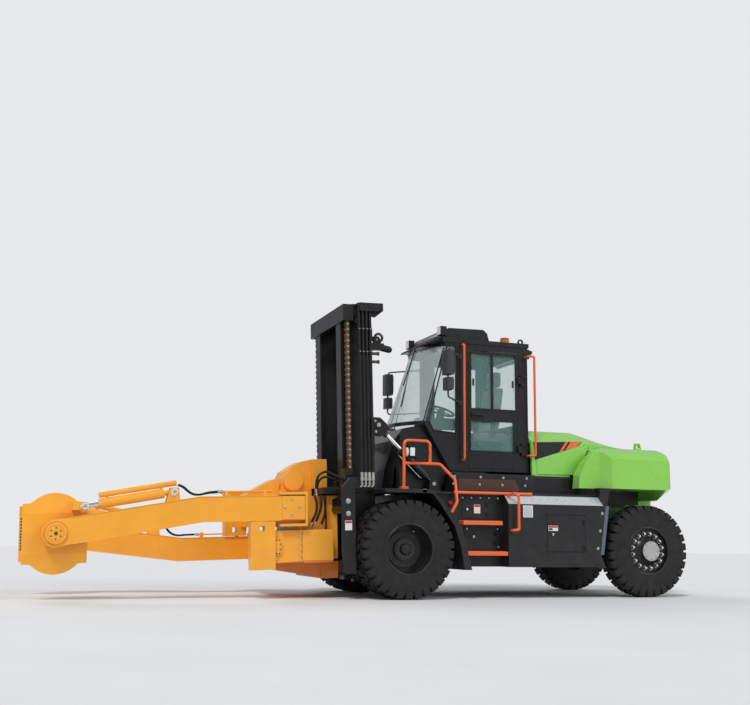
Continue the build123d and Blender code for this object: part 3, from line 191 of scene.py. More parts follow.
def painted(name, color, rough, coat, dust=0.0, spread=0.08, edge_highlight=None, peel=0.02):
    """Sprayed paint: slight unevenness of tone, orange peel, dust low down, and painted highlights along
    the edges.
    """
    m = new_material(name, color, rough, Coat_Weight=coat, Coat_Roughness=0.15)
    b = shader(m)
    last = ramp(m, noise(m, 1.7, 5, 0.62), uneven(color, spread))
    link(m, last, "Color", b, "Base Color")
    if dust:
        split = node(m, "ShaderNodeSeparateXYZ")
        link(m, node(m, "ShaderNodeTexCoord"), "Object", split, "Vector")
        low = node(m, "ShaderNodeMapRange", **DUST_FALL)
        link(m, split, "Z", low, "Value")
        blot = ramp(m, noise(m, 6, 8, 0.7), [(0.4, (0, 0, 0)), (0.8, (1, 1, 1))])
        much = node(m, "ShaderNodeMath", operation="MULTIPLY")
        link(m, low, "Result", much, 0)
        link(m, blot, "Color", much, 1)
        amount = node(m, "ShaderNodeMath", operation="MULTIPLY")
        amount.inputs[1].default_value = dust
        link(m, much, "Value", amount, 0)
        last = mixed(m, last, amount, "Value", DUST)
    # Painted highlight: a lighter tint of the paint laid along every edge, where light would catch it
    if edge_highlight:
        bent = node(m, "ShaderNodeBevel", samples=4, Radius=0.006)
        dot = node(m, "ShaderNodeVectorMath", operation="DOT_PRODUCT")
        link(m, bent, "Normal", dot, 0)
        link(m, node(m, "ShaderNodeNewGeometry"), "Normal", dot, 1)
        rim = node(m, "ShaderNodeMapRange", **EDGE_HIGHLIGHT_FALL)
        link(m, dot, "Value", rim, "Value")
        mixed(m, last, rim, "Result", edge_highlight)
    if peel:
        bump = bumped(m, noise(m, 90, 2, 0.5), peel)
        if edge_highlight:
            link(m, bent, "Normal", bump, "Normal")
    worn = ramp(m, noise(m, 11, 6, 0.65), [(0.3, (rough * 0.75,) * 3), (0.75, (min(1, rough * 1.35),) * 3)])
    link(m, worn, "Color", b, "Roughness")
    return m


def grained(name, color, rough, metal=0.0, scale=60, strength=0.15, spread=0.12, **more):
    """Moulded, woven, cast or brushed stuff: fine grain in both tone and bump."""
    m = new_material(name, color, rough, metal, **more)
    b = shader(m)
    tone = ramp(m, noise(m, scale / 9, 5, 0.6), uneven(color, spread))
    link(m, tone, "Color", b, "Base Color")
    bumped(m, noise(m, scale, 6, 0.7), strength)
    worn = ramp(m, noise(m, scale / 5, 6, 0.65),
                [(0.3, (rough * 0.8,) * 3), (0.7, (min(1, rough * 1.2),) * 3)])
    link(m, worn, "Color", b, "Roughness")
    return m


# The edge colours below are painted highlights, lighter tints of each paint
BLACK = painted("frame_black", (0.013, 0.0135, 0.015), 0.36, 0.12, dust=0.06, edge_highlight=(0.06, 0.062, 0.066))
CAB_BLACK = painted("cab_black", (0.011, 0.0115, 0.013), 0.30, 0.2, edge_highlight=(0.05, 0.052, 0.056))
MAST_BLACK = painted("mast_black", (0.010, 0.010, 0.011), 0.40, 0.08, dust=0.03, edge_highlight=(0.045, 0.043, 0.042))
SLATE = painted("slate_grey", (0.10, 0.12, 0.145), 0.38, 0.2, spread=0.05)
GREEN = painted("body_green", (0.255, 0.62, 0.088), 0.30, 0.45, spread=0.05, edge_highlight=(0.42, 0.76, 0.22))
ORANGE = painted("safety_orange", (0.84, 0.13, 0.028), 0.33, 0.3, spread=0.06, edge_highlight=(0.92, 0.26, 0.09))
CLAMP = painted("clamp_orange", (0.94, 0.395, 0.021), 0.36, 0.25, dust=0.08, edge_highlight=(0.95, 0.58, 0.14))
# A darker copy of the clamp orange, painted shade: on the lower clamp frame under the housings and on the
# pad caps' seams; it also carries dust
CLAMP_SHADED = painted("clamp_orange_painted_shade", (0.70, 0.19, 0.018), 0.42, 0.15, dust=0.15,
                     edge_highlight=(0.85, 0.36, 0.08))
SILVER = painted("deck_edge_grey", (0.50, 0.53, 0.57), 0.42, 0.15, dust=0.12, edge_highlight=(0.55, 0.56, 0.58))
BROWN = painted("dark_brown", (0.075, 0.026, 0.014), 0.5, 0.1, dust=0.1)
TYRE = grained("tyre_rubber", (0.016, 0.016, 0.0165), 0.74, scale=70, strength=0.2, spread=0.25)
PLASTIC = grained("dark_plastic", (0.010, 0.010, 0.011), 0.5, scale=160, strength=0.12)
GREY_PLASTIC = grained("grey_plastic", (0.035, 0.036, 0.039), 0.5, scale=160, strength=0.12)
HOSE = grained("hose_rubber", (0.010, 0.010, 0.011), 0.45, scale=220, strength=0.2)
FABRIC = grained("seat_fabric", (0.24, 0.24, 0.245), 0.85, scale=420, strength=0.5, Sheen_Weight=0.4)
CHROME = grained("chrome_rod", (0.78, 0.78, 0.78), 0.12, 1.0, scale=30, strength=0.01, spread=0.03)
STEEL = grained("zinc_steel", (0.60, 0.59, 0.56), 0.33, 1.0, scale=120, strength=0.06)
DARK_STEEL = grained("oiled_steel", (0.12, 0.105, 0.09), 0.42, 1.0, scale=90, strength=0.15)
CHAIN = grained("greased_chain", (0.17, 0.105, 0.055), 0.45, 0.7, scale=120, strength=0.25)
CAST = grained("cast_grey", (0.045, 0.045, 0.047), 0.6, 0.4, scale=60, strength=0.3)
WHITE = painted("blank_white", (0.74, 0.74, 0.72), 0.4, 0.2, spread=0.03)
RED = painted("blank_red", (0.55, 0.012, 0.012), 0.35, 0.3, spread=0.03)
LAMP_LENS = painted("lamp_lens_white", (0.80, 0.81, 0.82), 0.16, 0.8, spread=0.03, peel=0.0)
for dark in (BLACK, CAB_BLACK, MAST_BLACK, PLASTIC, HOSE, TYRE):
    dark.node_tree.nodes["Principled BSDF"].inputs["Specular IOR Level"].default_value = 0.35
AMBER = new_material("amber_lens", (0.95, 0.30, 0.02), 0.12, Coat_Weight=0.5, Transmission_Weight=0.35)
TINT = new_material("tinted_glass", (0.35, 0.62, 0.58), 0.03, Coat_Weight=0.6)

def finish_lens(m, ribs):
    wave = node(m, "ShaderNodeTexWave", Scale=ribs, Distortion=0.4)
    link(m, node(m, "ShaderNodeTexCoord"), "Object", wave, "Vector")
    bumped(m, wave, 0.3, 0.003)


def see_through(m, alpha):
    shader(m).inputs["Alpha"].default_value = alpha
    m.surface_render_method = "BLENDED"


finish_lens(AMBER, 40)
finish_lens(LAMP_LENS, 60)
see_through(TINT, 0.17)
smudge = ramp(TINT, noise(TINT, 2.2, 6, 0.7), [(0.35, (0.30, 0.58, 0.53)), (0.7, (0.42, 0.68, 0.64))])
link(TINT, smudge, "Color", shader(TINT), "Base Color")
# Front panes: a paler, less clear copy of the tinted glass, a painted reflection of the bright surroundings
REFLECTING_SCREEN_GLASS = new_material("windscreen_glass_painted_reflection", (0.72, 0.84, 0.82), 0.03, Coat_Weight=0.6)
see_through(REFLECTING_SCREEN_GLASS, 0.34)
CORNER_GLASS = new_material("corner_glass", (0.45, 0.66, 0.63), 0.03, Coat_Weight=0.6)
see_through(CORNER_GLASS, 0.06)

# The CAD nodes in each material. A name that ends in _ stands for a left and a right one.
DRESS = (
    (BLACK, "chassis_frame battery_block platform_deck side_cabinets step_lockers fenders tilt_brackets "
            "cabinet_door_ front_rims_ rear_rim_ tilt_barrel_"),
    (MAST_BLACK, "outer_mast inner_mast carriage mast_ears"), (TYRE, "front_tyres_ rear_tyre_"),
    (CAST, "drive_axle steer_axle knuckle_"), (CAB_BLACK, "cab_shell cab_door cab_cowl cab_roof"),
    (CLAMP, "clamp_frame arm_ pad_ pad_barrel_"), (CHROME, "tilt_rod_ pad_rod_"), (FABRIC, "driver_seat"),
    (GREEN, "hood counterweight"), (ORANGE, "step_treads handrails"), (TINT, "cab_glass cab_door_glass"),
    (PLASTIC, "steering_column lamps"), (GREY_PLASTIC, "mirrors"), (CHAIN, "mast_chains"),
)
for material, names in DRESS:
    for name in names.split():
        for end in ("left", "right") if name.endswith("_") else ("",):
            mesh = NODES[name + end].data
            mesh.materials.clear()
            mesh.materials.append(material)
            for p in mesh.polygons:
                p.material_index = 0


def zone(name, material, test):
    """Gives the faces of a CAD node that pass the test another material."""
    obj = NODES[name]
    obj.data.materials.append(material)
    slot = len(obj.data.materials) - 1
    for p in obj.data.polygons:
        c = p.center * MM
        if test(c.x - SHIFT_X, c.y, c.z, p.normal):
            p.material_index = slot


WHEEL_Z = 615
REAR_X = -3510


def steel_of_rim(x, y, z, n):
    return abs(y) > 1180 and math.hypot(x - REAR_X, z - WHEEL_Z) < 140


def front_of_quarter(x, y, z, n):
    """True in front of the quarter pane, where the cab's corner is glass."""
    return abs(y) > 600 and 2300 < z < 3330 and x > -752 + (3335 - z) * 270 / 1035


for s, side in SIDES:
    zone("rear_rim_" + side, STEEL, steel_of_rim)
zone("side_cabinets", SILVER, lambda x, y, z, n: abs(n.y) > 0.4 and n.z > 0.4 and z > 1190)
# The clamp frame below 470 mm gets the darker orange: painted shade under the housings
zone("clamp_frame", CLAMP_SHADED, lambda x, y, z, n: z < 470)
# The front panes of the cab glass get the paler copy: painted reflection
zone("cab_glass", REFLECTING_SCREEN_GLASS, lambda x, y, z, n: x > -900 and abs(n.y) < 0.9)
zone("cab_shell", CORNER_GLASS, front_of_quarter)


# Forms. Each adds to a mesh.
def wrap(bm, a, b):
    """Faces between two loops of as many vertices."""
    for i in range(len(a)):
        j = (i + 1) % len(a)
        bm.faces.new((a[i], a[j], b[j], b[i]))


def frame_of(a, b):
    """Rotation that takes +Z to the direction from a to b."""
    return (Vector(b) - Vector(a)).to_track_quat("Z", "Y").to_matrix().to_4x4()


def rod(bm, a, b, radius, sides, end=None):
    """A round or many-sided bar from a to b, its far end wider or narrower where asked."""
    a = Vector(a)
    b = Vector(b)
    m = Matrix.Translation((a + b) / 2) @ frame_of(a, b)
    bmesh.ops.create_cone(bm, cap_ends=True, segments=sides, radius1=radius,
                          radius2=radius if end is None else end, depth=(b - a).length, matrix=m)


def box(bm, lo, hi, place=at):
    """A box between two corners given in millimetres."""
    corners = [place(x, y, z) for x in (lo[0], hi[0]) for y in (lo[1], hi[1]) for z in (lo[2], hi[2])]
    v = [bm.verts.new(c) for c in corners]
    for f in ((0, 1, 3, 2), (4, 6, 7, 5), (0, 4, 5, 1), (2, 3, 7, 6), (0, 2, 6, 4), (1, 5, 7, 3)):
        bm.faces.new([v[i] for i in f])


def plate(bm, points, offset):
    """A closed outline of row points, as thick as the offset vector."""
    low = [bm.verts.new(p) for p in points]
    high = [bm.verts.new(Vector(p) + Vector(offset)) for p in points]
    bm.faces.new(low)
    bm.faces.new(list(reversed(high)))
    wrap(bm, low, high)


def bolt(bm, where, out, radius, washer=True):
    """A hexagon head with its washer, standing on a surface."""
    where = Vector(where)
    out = Vector(out).normalized()
    head = radius * 0.75
    thick = radius * 0.22
    rim = thick + head * 0.85
    if washer:
        rod(bm, where - out * 0.001, where + out * thick, radius * 1.35, 20)
    rod(bm, where, where + out * rim, radius, 6)
    rod(bm, where + out * rim, where + out * (thick + head), radius, 6, radius * 0.82)


def loops(bm, centre, out, rows, sides):
    """Circles about the axis out: rows of distance along it and radius."""
    turn = frame_of((0, 0, 0), out)
    return [[bm.verts.new(Vector(centre) + turn @ Vector((r * math.cos(math.tau * k / sides),
                                                          r * math.sin(math.tau * k / sides), d)))
             for k in range(sides)] for d, r in rows]


def spun(bm, centre, out, rows, sides=64):
    """A turned form with closed ends."""
    rings = loops(bm, centre, out, rows, sides)
    for a, b in zip(rings, rings[1:]):
        wrap(bm, a, b)
    bm.faces.new(rings[0])
    bm.faces.new(list(reversed(rings[-1])))


def ring(bm, centre, out, rows, sides=96):
    """A turned ring: its section is a closed loop."""
    rings = loops(bm, centre, out, rows, sides)
    for a, b in zip(rings, rings[1:] + rings[:1]):
        wrap(bm, a, b)


# Points
def flat(y, outline, place=at):
    """The points of an outline of X and Z, all at one Y."""
    return [place(x, y, z) for x, z in outline]


def arc(place, x, y, z, radius, start, sweep, steps):
    """Points on an arc about x, z, in a plane across the Y axis."""
    angles = [start + sweep * k / steps for k in range(steps + 1)]
    return [place(x + radius * math.cos(a), y, z + radius * math.sin(a)) for a in angles]


def ring_points(centre, radius, count, start=0.0):
    """Places on a circle about the Y axis."""
    angles = [start + k * math.tau / count for k in range(count)]
    return [centre + Vector((math.cos(a) * radius, 0, math.sin(a) * radius)) for a in angles]


def domed(points, radius, sides, tip):
    """Parts of a round form along three points that narrows after the second."""
    a, b, c = points
    return [(rod, a, b, radius, sides), (rod, b, c, radius, sides, tip)]


def placed(name, data):
    """A new object in the scene."""
    obj = bpy.data.objects.new(name, data)
    bpy.context.scene.collection.objects.link(obj)
    return obj


def smooth(mesh):
    for p in mesh.polygons:
        p.use_smooth = True


# Pieces. Each is named, given a material and rides on a body.
def build(name, parts, material, body=CHASSIS, bevel=0.0, angle=35):
    """A piece out of parts, each a form with its values; its edges are sharp beyond the angle."""
    bm = bmesh.new()
    for form, *values in parts:
        form(bm, *values)
    mesh = bpy.data.meshes.new(name)
    bmesh.ops.recalc_face_normals(bm, faces=bm.faces)
    bm.to_mesh(mesh)
    bm.free()
    obj = placed(name, mesh)
    mesh.materials.append(material)
    smooth(mesh)
    mesh.set_sharp_from_angle(angle=math.radians(angle))
    if bevel:
        b = obj.modifiers.new("bevel", "BEVEL")
        b.width = bevel
        b.segments = 2
        b.limit_method = "ANGLE"
        b.angle_limit = math.radians(40)
    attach(obj, body)
    return obj


def bolts(name, places, out, radius, body=CHASSIS, material=STEEL, washer=True):
    build(name, [(bolt, p, out, radius, washer) for p in places], material, body, angle=25)


def tube_piece(name, route, radius, body, place=up):
    """A hose on one smooth curve along its route."""
    data = bpy.data.curves.new(name, "CURVE")
    data.dimensions = "3D"
    s = data.splines.new("NURBS")
    s.points.add(len(route) - 1)
    for p, q in zip(s.points, route):
        p.co = (*place(*q), 1)
    s.order_u = 3
    s.use_endpoint_u = True
    s.resolution_u = 8
    data.bevel_depth = radius
    data.bevel_resolution = 3
    data.use_fill_caps = True
    data.materials.append(HOSE)
    curve = placed(name, data)
    mesh = bpy.data.meshes.new_from_object(curve)
    bpy.data.objects.remove(curve)
    smooth(mesh)
    out = placed(name, mesh)
    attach(out, body)


def fitting(name, where, along, radius, body):
    """Crimped hose end: sleeve, hexagon and collar."""
    step = along.normalized() * radius
    parts = [(rod, where - step * 3.2, where + step, radius * 1.18, 20)]
    for k in range(3):
        a = where - step * (2.9 - 0.8 * k)
        parts.append((rod, a, a + step * 0.4, radius * 1.26, 20))
    parts += [(rod, where + step, where + step * 2.2, radius * 1.5, 6),
              (rod, where + step * 2.2, where + step * 3.0, radius * 0.95, 16)]
    build(name, parts, STEEL, body, angle=30)


# Camera: solved from the photograph, in the truck's frame
YAW = 0.3434
PITCH = 0.1740
ROLL = 0.0108
LENS = 50.68
SENSOR = 36
EYE = (4919.7, 13611.7, 748.6)


def camera():
    data = bpy.data.cameras.new("camera")
    data.sensor_width = SENSOR
    data.sensor_fit = "HORIZONTAL"
    data.lens = LENS
    data.clip_end = 200
    cam = placed("camera", data)
    look = Vector((-math.sin(YAW) * math.cos(PITCH), -math.cos(YAW) * math.cos(PITCH), math.sin(PITCH)))
    side = Vector((-math.cos(YAW), math.sin(YAW), 0))
    top = side.cross(look)
    right = side * math.cos(ROLL) + top * math.sin(ROLL)
    top = top * math.cos(ROLL) - side * math.sin(ROLL)
    m = Matrix((right, top, -look)).transposed().to_4x4()
    m.translation = at(*EYE)
    cam.matrix_world = m
    bpy.context.scene.camera = cam


def sun(name, toward, power, spread, color=(1, 1, 1)):
    data = bpy.data.lights.new(name, "SUN")
    data.energy = power
    data.angle = math.radians(spread)
    data.color = color
    placed(name, data).rotation_euler = Vector(toward).to_track_quat("Z", "Y").to_euler()


def studio():
    """Pale floor, soft sky and three suns."""
    bpy.context.scene.view_settings.view_transform = "Standard"
    floor_mesh = bpy.data.meshes.new("floor")
    bm = bmesh.new()
    bmesh.ops.create_circle(bm, cap_ends=True, radius=60, segments=96)
    bm.to_mesh(floor_mesh)
    bm.free()
    floor = placed("floor", floor_mesh)
    m = new_material("floor_pale", (0.72, 0.72, 0.72), 0.9)
    tone = ramp(m, noise(m, 0.8, 4, 0.6), [(0.3, (0.72, 0.73, 0.745)), (0.7, (0.75, 0.76, 0.775))])
    link(m, tone, "Color", shader(m), "Base Color")
    floor.data.materials.append(m)
    world = bpy.data.worlds.new("world")
    bpy.context.scene.world = world
    world.use_nodes = True
    back = world.node_tree.nodes["Background"]
    back.inputs["Color"].default_value = (0.95, 0.97, 1.0, 1)
    back.inputs["Strength"].default_value = 0.42
    seen = node(world, "ShaderNodeBackground", Color=(0.80, 0.81, 0.83, 1), Strength=1.0)
    path = node(world, "ShaderNodeLightPath")
    most = node(world, "ShaderNodeMath", operation="MAXIMUM")
    link(world, path, "Is Camera Ray", most, 0)
    link(world, path, "Is Transmission Ray", most, 1)
    mix = node(world, "ShaderNodeMixShader")
    for into, source in enumerate((most, back, seen)):
        link(world, source, 0, mix, into)
    link(world, mix, 0, world.node_tree.nodes["World Output"], "Surface")
    sun("key", (6, 8, 12), 1.55, 14, (1, 0.99, 0.97))
    sun("fill", (-9, 9, 7), 0.75, 30, (0.97, 0.98, 1))
    sun("far", (3, -10, 9), 0.6, 30)


# Wheels
LUGS = 30
# Sidewall and tread base of one side: distance from the tyre's middle, radius
WALL = ((0, 582), (70, 582), (112, 578), (132, 562), (142, 535), (144, 512), (147, 506), (144.5, 500),
        (149, 470), (150, 430), (149, 390), (147, 352), (145.5, 330), (144, 318), (143, 318), (143, 367),
        (106, 367), (106, 343))
# One lug from the middle out to the shoulder: distance, radius, lean and half width in lug pitches, and
# how far its foot lies inward
LUG = ((10, 612, 0.26, 0.10, 0), (30, 615, 0.22, 0.26, 0), (66, 615, 0.10, 0.34, 0),
       (84, 615, 0.0, 0.345, 0), (126, 613, 0.0, 0.35, 0), (142, 600, 0.0, 0.35, 20),
       (149.5, 562, 0.0, 0.345, 30),
       (150, 535, 0.0, 0.34, 30), (144, 512, 0.0, 0.32, 30))
LUG_FLARE = 0.05
# Turned forms: distance along the axis and radius
RIM_LIP = ((-0.030, 0.300), (0.000, 0.302), (0.003, 0.306), (0.0045, 0.312), (0.003, 0.318),
           (-0.001, 0.3225))
HUB_CAP = ((0, 0.066), (0.03, 0.064), (0.042, 0.055), (0.046, 0.03), (0.047, 0.004))
NUT_CAP = ((-0.016, 0.021), (0.002, 0.0205), (0.010, 0.016), (0.015, 0.008), (0.016, 0.001))
HUB_CONE = ((0, 0.205), (0.006, 0.205), (0.02, 0.178), (0.06, 0.15), (0.10, 0.133))
# Circle of the rear wheel nuts: radius, count and start
REAR_NUTS = (0.232, 16, math.tau / 32)


def tyre_into(bm, x, mid):
    def spot(dy, radius, angle):
        return bm.verts.new(at(x + radius * math.cos(angle), mid + dy, WHEEL_Z + radius * math.sin(angle)))
    section = list(WALL) + [(-d, r) for d, r in reversed(WALL[1:])]
    count = LUGS * 6
    rings = [[spot(d, r, math.tau * k / count) for d, r in section] for k in range(count)]
    for a, b in zip(rings, rings[1:] + rings[:1]):
        wrap(bm, a, b)
    pitch = math.tau / LUGS
    for k in range(LUGS):
        for s in (1, -1):
            middle = -math.pi / 2 + (k + (0.5 if s < 0 else 0)) * pitch
            last = None
            for d, r, lean_by, wide, foot in LUG:
                a = middle + lean_by * pitch
                low = wide + LUG_FLARE
                foot_d = s * (d - foot)
                foot_r = min(r, 600) - (12 if foot else 40)
                row = [spot(s * d, r, a - wide * pitch), spot(s * d, r, a + wide * pitch),
                       spot(foot_d, foot_r, a + low * pitch), spot(foot_d, foot_r, a - low * pitch)]
                if last:
                    wrap(bm, last, row)
                else:
                    bm.faces.new(row)
                last = row
            bm.faces.new(list(reversed(last)))


def tyre_piece(name, x, middles, body, stands_for):
    piece = build(name, [(tyre_into, x, mid) for mid in middles], TYRE, body, angle=38)
    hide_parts(stands_for)


def wheels():
    for s, side in SIDES:
        out = LEFT * s
        body = "front_wheel_" + side
        tyre_piece("front_tyre_tread_" + side, 0, (s * 1075, s * 735), body, "front_tyres_" + side)
        hub = at(0, s * 1050, WHEEL_Z)
        bolts("hub_bolts_" + side, ring_points(hub, 0.105, 16), out, 0.011, body, DARK_STEEL)
        build("hub_cap_" + side, [(spun, hub - out * 0.01, out, HUB_CAP)], BLACK, body)
        build("rim_lip_" + side, [(ring, at(0, s * 1221, WHEEL_Z), out, RIM_LIP)], BLACK, body)
        spot = at(-110, s * 1000, WHEEL_Z + 240)
        stem = (rod, spot, spot + out * 0.12 + Vector((0.02, 0, -0.02)), 0.006, 10)
        build("front_valve_" + side, [stem], STEEL, body)
        body = "rear_wheel_" + side
        tyre_piece("rear_tyre_tread_" + side, REAR_X, (s * 1015,), body, "rear_tyre_" + side)
        rear = at(REAR_X, s * 1111, WHEEL_Z)
        bolts("rear_nuts_" + side, ring_points(rear, *REAR_NUTS), out, 0.0215, body)
        caps = [(spun, p, out, NUT_CAP, 20) for p in ring_points(rear + out * 0.033, *REAR_NUTS)]
        build("rear_nut_caps_" + side, caps, STEEL, body)
        build("rear_rim_lip_" + side, [(ring, at(REAR_X, s * 1161, WHEEL_Z), out, RIM_LIP)], BLACK, body)
        build("rear_hub_cone_" + side, [(spun, at(REAR_X, s * 1105, WHEEL_Z), out, HUB_CONE)], BLACK, body)
        cap = at(REAR_X, s * 1215, WHEEL_Z)
        bolts("rear_cap_bolts_" + side, ring_points(cap, 0.112, 8), out, 0.006, body, DARK_STEEL, False)


# Chassis sides
CABINET_Y = 1200
LOCKER_Y = 1010
VENT_Y = 800
HOOD_Y = 730.4
HOOD_FOOT = 1604
HOOD_RISE = 481
HOOD_LEAN_IN = 25


def blank_label(name, x, z, size, y, s, red=0.0, body=CHASSIS):
    """A white plate with nothing on it, its top part red where asked."""
    wide, high = size
    build(name, [(box, (x, s * y, z), (x - wide, s * (y + 1.5), z + high))], WHITE, body, 0.0005)
    if red:
        band = (box, (x - 4, s * y, z + high * (1 - red)), (x - wide + 4, s * (y + 2.2), z + high - 4))
        build(name + "_band", [band], RED, body, 0.0003)


def hinge_leaf(bm, x, z, s, y):
    """A hinge leaf with its pin and four bolts."""
    box(bm, (x - 24, s * y, z - 26), (x + 24, s * (y + 5), z + 26))
    rod(bm, at(x, s * (y + 6), z - 26), at(x, s * (y + 6), z + 26), 0.007, 12)
    for dx in (-15, 15):
        for dz in (-16, 16):
            bolt(bm, at(x + dx, s * (y + 5), z + dz), LEFT * s, 0.005, False)


def quarter_turn(name, x, z, s, y, body=CHASSIS):
    """Round lock with its small swinging handle."""
    parts = domed([at(x, s * (y + dy), z) for dy in (0, 9, 12)], 0.017, 28, 0.012)
    parts.append((box, (x - 4, s * (y + 11), z - 11), (x + 4, s * (y + 16), z + 11)))
    build(name, parts, STEEL, body)
    grip = (box, (x + 52, s * y, z - 9), (x + 12, s * (y + 12), z + 9))
    build(name + "_grip", [grip], PLASTIC, body, 0.003)


def chassis_trim():
    strip = ((-2880, 1204), (-2783, 560), (-2731, 560), (-2827, 1204))
    for s, side in SIDES:
        out = LEFT * s
        door = "cabinet_door_" + side
        slope = Vector((0, s * 0.69, 0.72))
        row = [at(x, s * 1125, 1272.5) for x in range(-760, -2760, -125)]
        bolts("deck_bolts_" + side, row, slope, 0.009)
        spots = flat(s * CABINET_Y, ((-2770, 1105), (-2732, 874), (-2692, 644)))
        bolts("rear_panel_bolts_" + side, spots, out, 0.015)
        build("rear_post_strip_" + side, [(plate, flat(s * 1199, strip), out * 0.003)], SLATE, bevel=0.001)
        blank_label("lock_plate_" + side, -1587, 1036, (143, 152), CABINET_Y, s)
        raised = (box, (-1600, s * 1201, 1049), (-1717, s * 1204, 1175))
        build("lock_plate_raised_" + side, [raised], SILVER, bevel=0.002)
        blank_label("door_label_" + side, -1953, 866, (141, 68), 1203.5, s, 0.4, door)
        quarter_turn("cabinet_lock_" + side, -2019, 821, s, 1202, door)
        small = (box, (-169, s * 1226, 1316), (-222, s * 1230, 1362))
        build("fender_plate_" + side, [small], WHITE, bevel=0.002)
        seams = [(box, (x, s * 1199, 590), (x + 6, s * 1200.6, 1080)) for x in (-1930, -2513)]
        seams += [(box, (-2513, s * 1199, z), (-1924, s * 1200.6, z + 6)) for z in (590, 1075)]
        build("door_seal_" + side, seams, PLASTIC)
        button = [at(-635, s * y, 1204) for y in (1006, 1022, 1040)]
        build("stop_button_" + side, domed(button, 0.030, 28, 0.022), RED)


def perforated_panels():
    """Dark brown vent plate above the deck, rows of bolts and the rear panel."""
    vent = ((-850, 1385), (-850, 1534), (-1680, 1534), (-1745, 1385))
    rear = ((-1905, 1395), (-1905, 1585), (-2640, 1585), (-2600, 1395))
    for s, side in SIDES:
        out = LEFT * s
        y = s * VENT_Y
        build("vent_plate_" + side, [(plate, flat(y, vent), out * 0.003)], BROWN, bevel=0.001)
        # The plate's holes are near-black discs on its face: painted shade where the holes open into the
        # dark inside
        holes = []
        for k, z in enumerate((1412, 1442, 1472, 1502)):
            for i in range(16):
                x = -880 - 50 * i - 25 * (k % 2)
                holes.append((rod, at(x, s * 802.4, z), at(x, s * 803.4, z), 0.007, 14))
        build("vent_hole_shade_" + side, holes, PLASTIC)
        spots = [at(x, y, 1562) for x in (-794, -1172, -1507, -1857)]
        spots += [at(x, y, 1465) for x in (-780, -1834)]
        spots += [at(x, s * 803, 1464) for x in (-1155, -1490)]
        bolts("vent_bolts_" + side, spots, out, 0.013)
        build("rear_panel_" + side, [(plate, flat(s * 770, rear), out * 0.006)], CAB_BLACK, bevel=0.003)


def hood_trim():
    stripe = ((-2016, 2069), (-2785, 2107), (-2731, 2048), (-2415, 1944), (-2032, 1827))
    marks = (((-2522, 2091), (-2561, 2093), (-2455, 1950), (-2415, 1948)),
             ((-2601, 2094), (-2775, 2103), (-2704, 2040), (-2506, 1967)))
    panel = ((-2049, 1806), (-2424, 1915), (-2758, 2018), (-2890, 2090), (-2784, 1823), (-2716, 1634),
             (-2061, 1628))

    def on_hood(outline, s):
        """Points of an outline on the leaning side of the hood."""
        return [at(x, s * (HOOD_Y - HOOD_LEAN_IN * (z - HOOD_FOOT) / HOOD_RISE), z) for x, z in outline]
    for s, side in SIDES:
        out = LEFT * s
        build("hood_stripe_" + side, [(plate, on_hood(stripe, s), out * 0.0015)], CAB_BLACK)
        for k, mark in enumerate(marks):
            build("hood_mark_%d_%s" % (k, side), [(plate, on_hood(mark, s), out * 0.003)], ORANGE)
        build("hood_panel_" + side, [(plate, on_hood(panel, s), out * 0.009)], GREEN, bevel=0.006)


# Places of lamps and mirrors
LAMP_Y = 1000
LAMP_Z = 1840
BEACON = (-1800, 300)
CAB_Y = 646
MIRROR = (-560, 1125)


def lights():
    for s, side in SIDES:
        lens = [at(x, s * LAMP_Y, LAMP_Z) for x in (-45, -36, -24)]
        build("headlamp_lens_" + side, domed(lens, 0.060, 36, 0.045), LAMP_LENS)
        pane = (box, (-52, s * 1072, 1785), (-118, s * 1088, 1895))
        build("headlamp_side_" + side, [pane], LAMP_LENS, bevel=0.006)
        shell = [(box, (-120, s * 1070, 1780), (-150, s * 1092, 1900)),
                 (box, (-40, s * 1066, 1895), (-150, s * 1092, 1904)),
                 (box, (-40, s * 1066, 1776), (-150, s * 1092, 1785))]
        build("headlamp_shell_" + side, shell, PLASTIC, bevel=0.003)
        pane = (box, (-662, s * 530, 3490), (-655, s * 640, 3598))
        build("roof_lamp_lens_" + side, [pane], LAMP_LENS, bevel=0.006)
        fins = [(box, (-758, s * 532, z), (-744, s * 638, z + 10)) for z in range(3500, 3596, 24)]
        build("roof_lamp_fins_" + side, fins, PLASTIC, bevel=0.002)
    dome = [at(*BEACON, z) for z in (3468, 3560, 3578)]
    build("beacon_dome", domed(dome, 0.0635, 40, 0.045), AMBER)
    ribs = [(rod, at(*BEACON, z), at(*BEACON, z + 5), 0.0655, 40) for z in range(3475, 3571, 24)]
    build("beacon_ribs", ribs, AMBER)


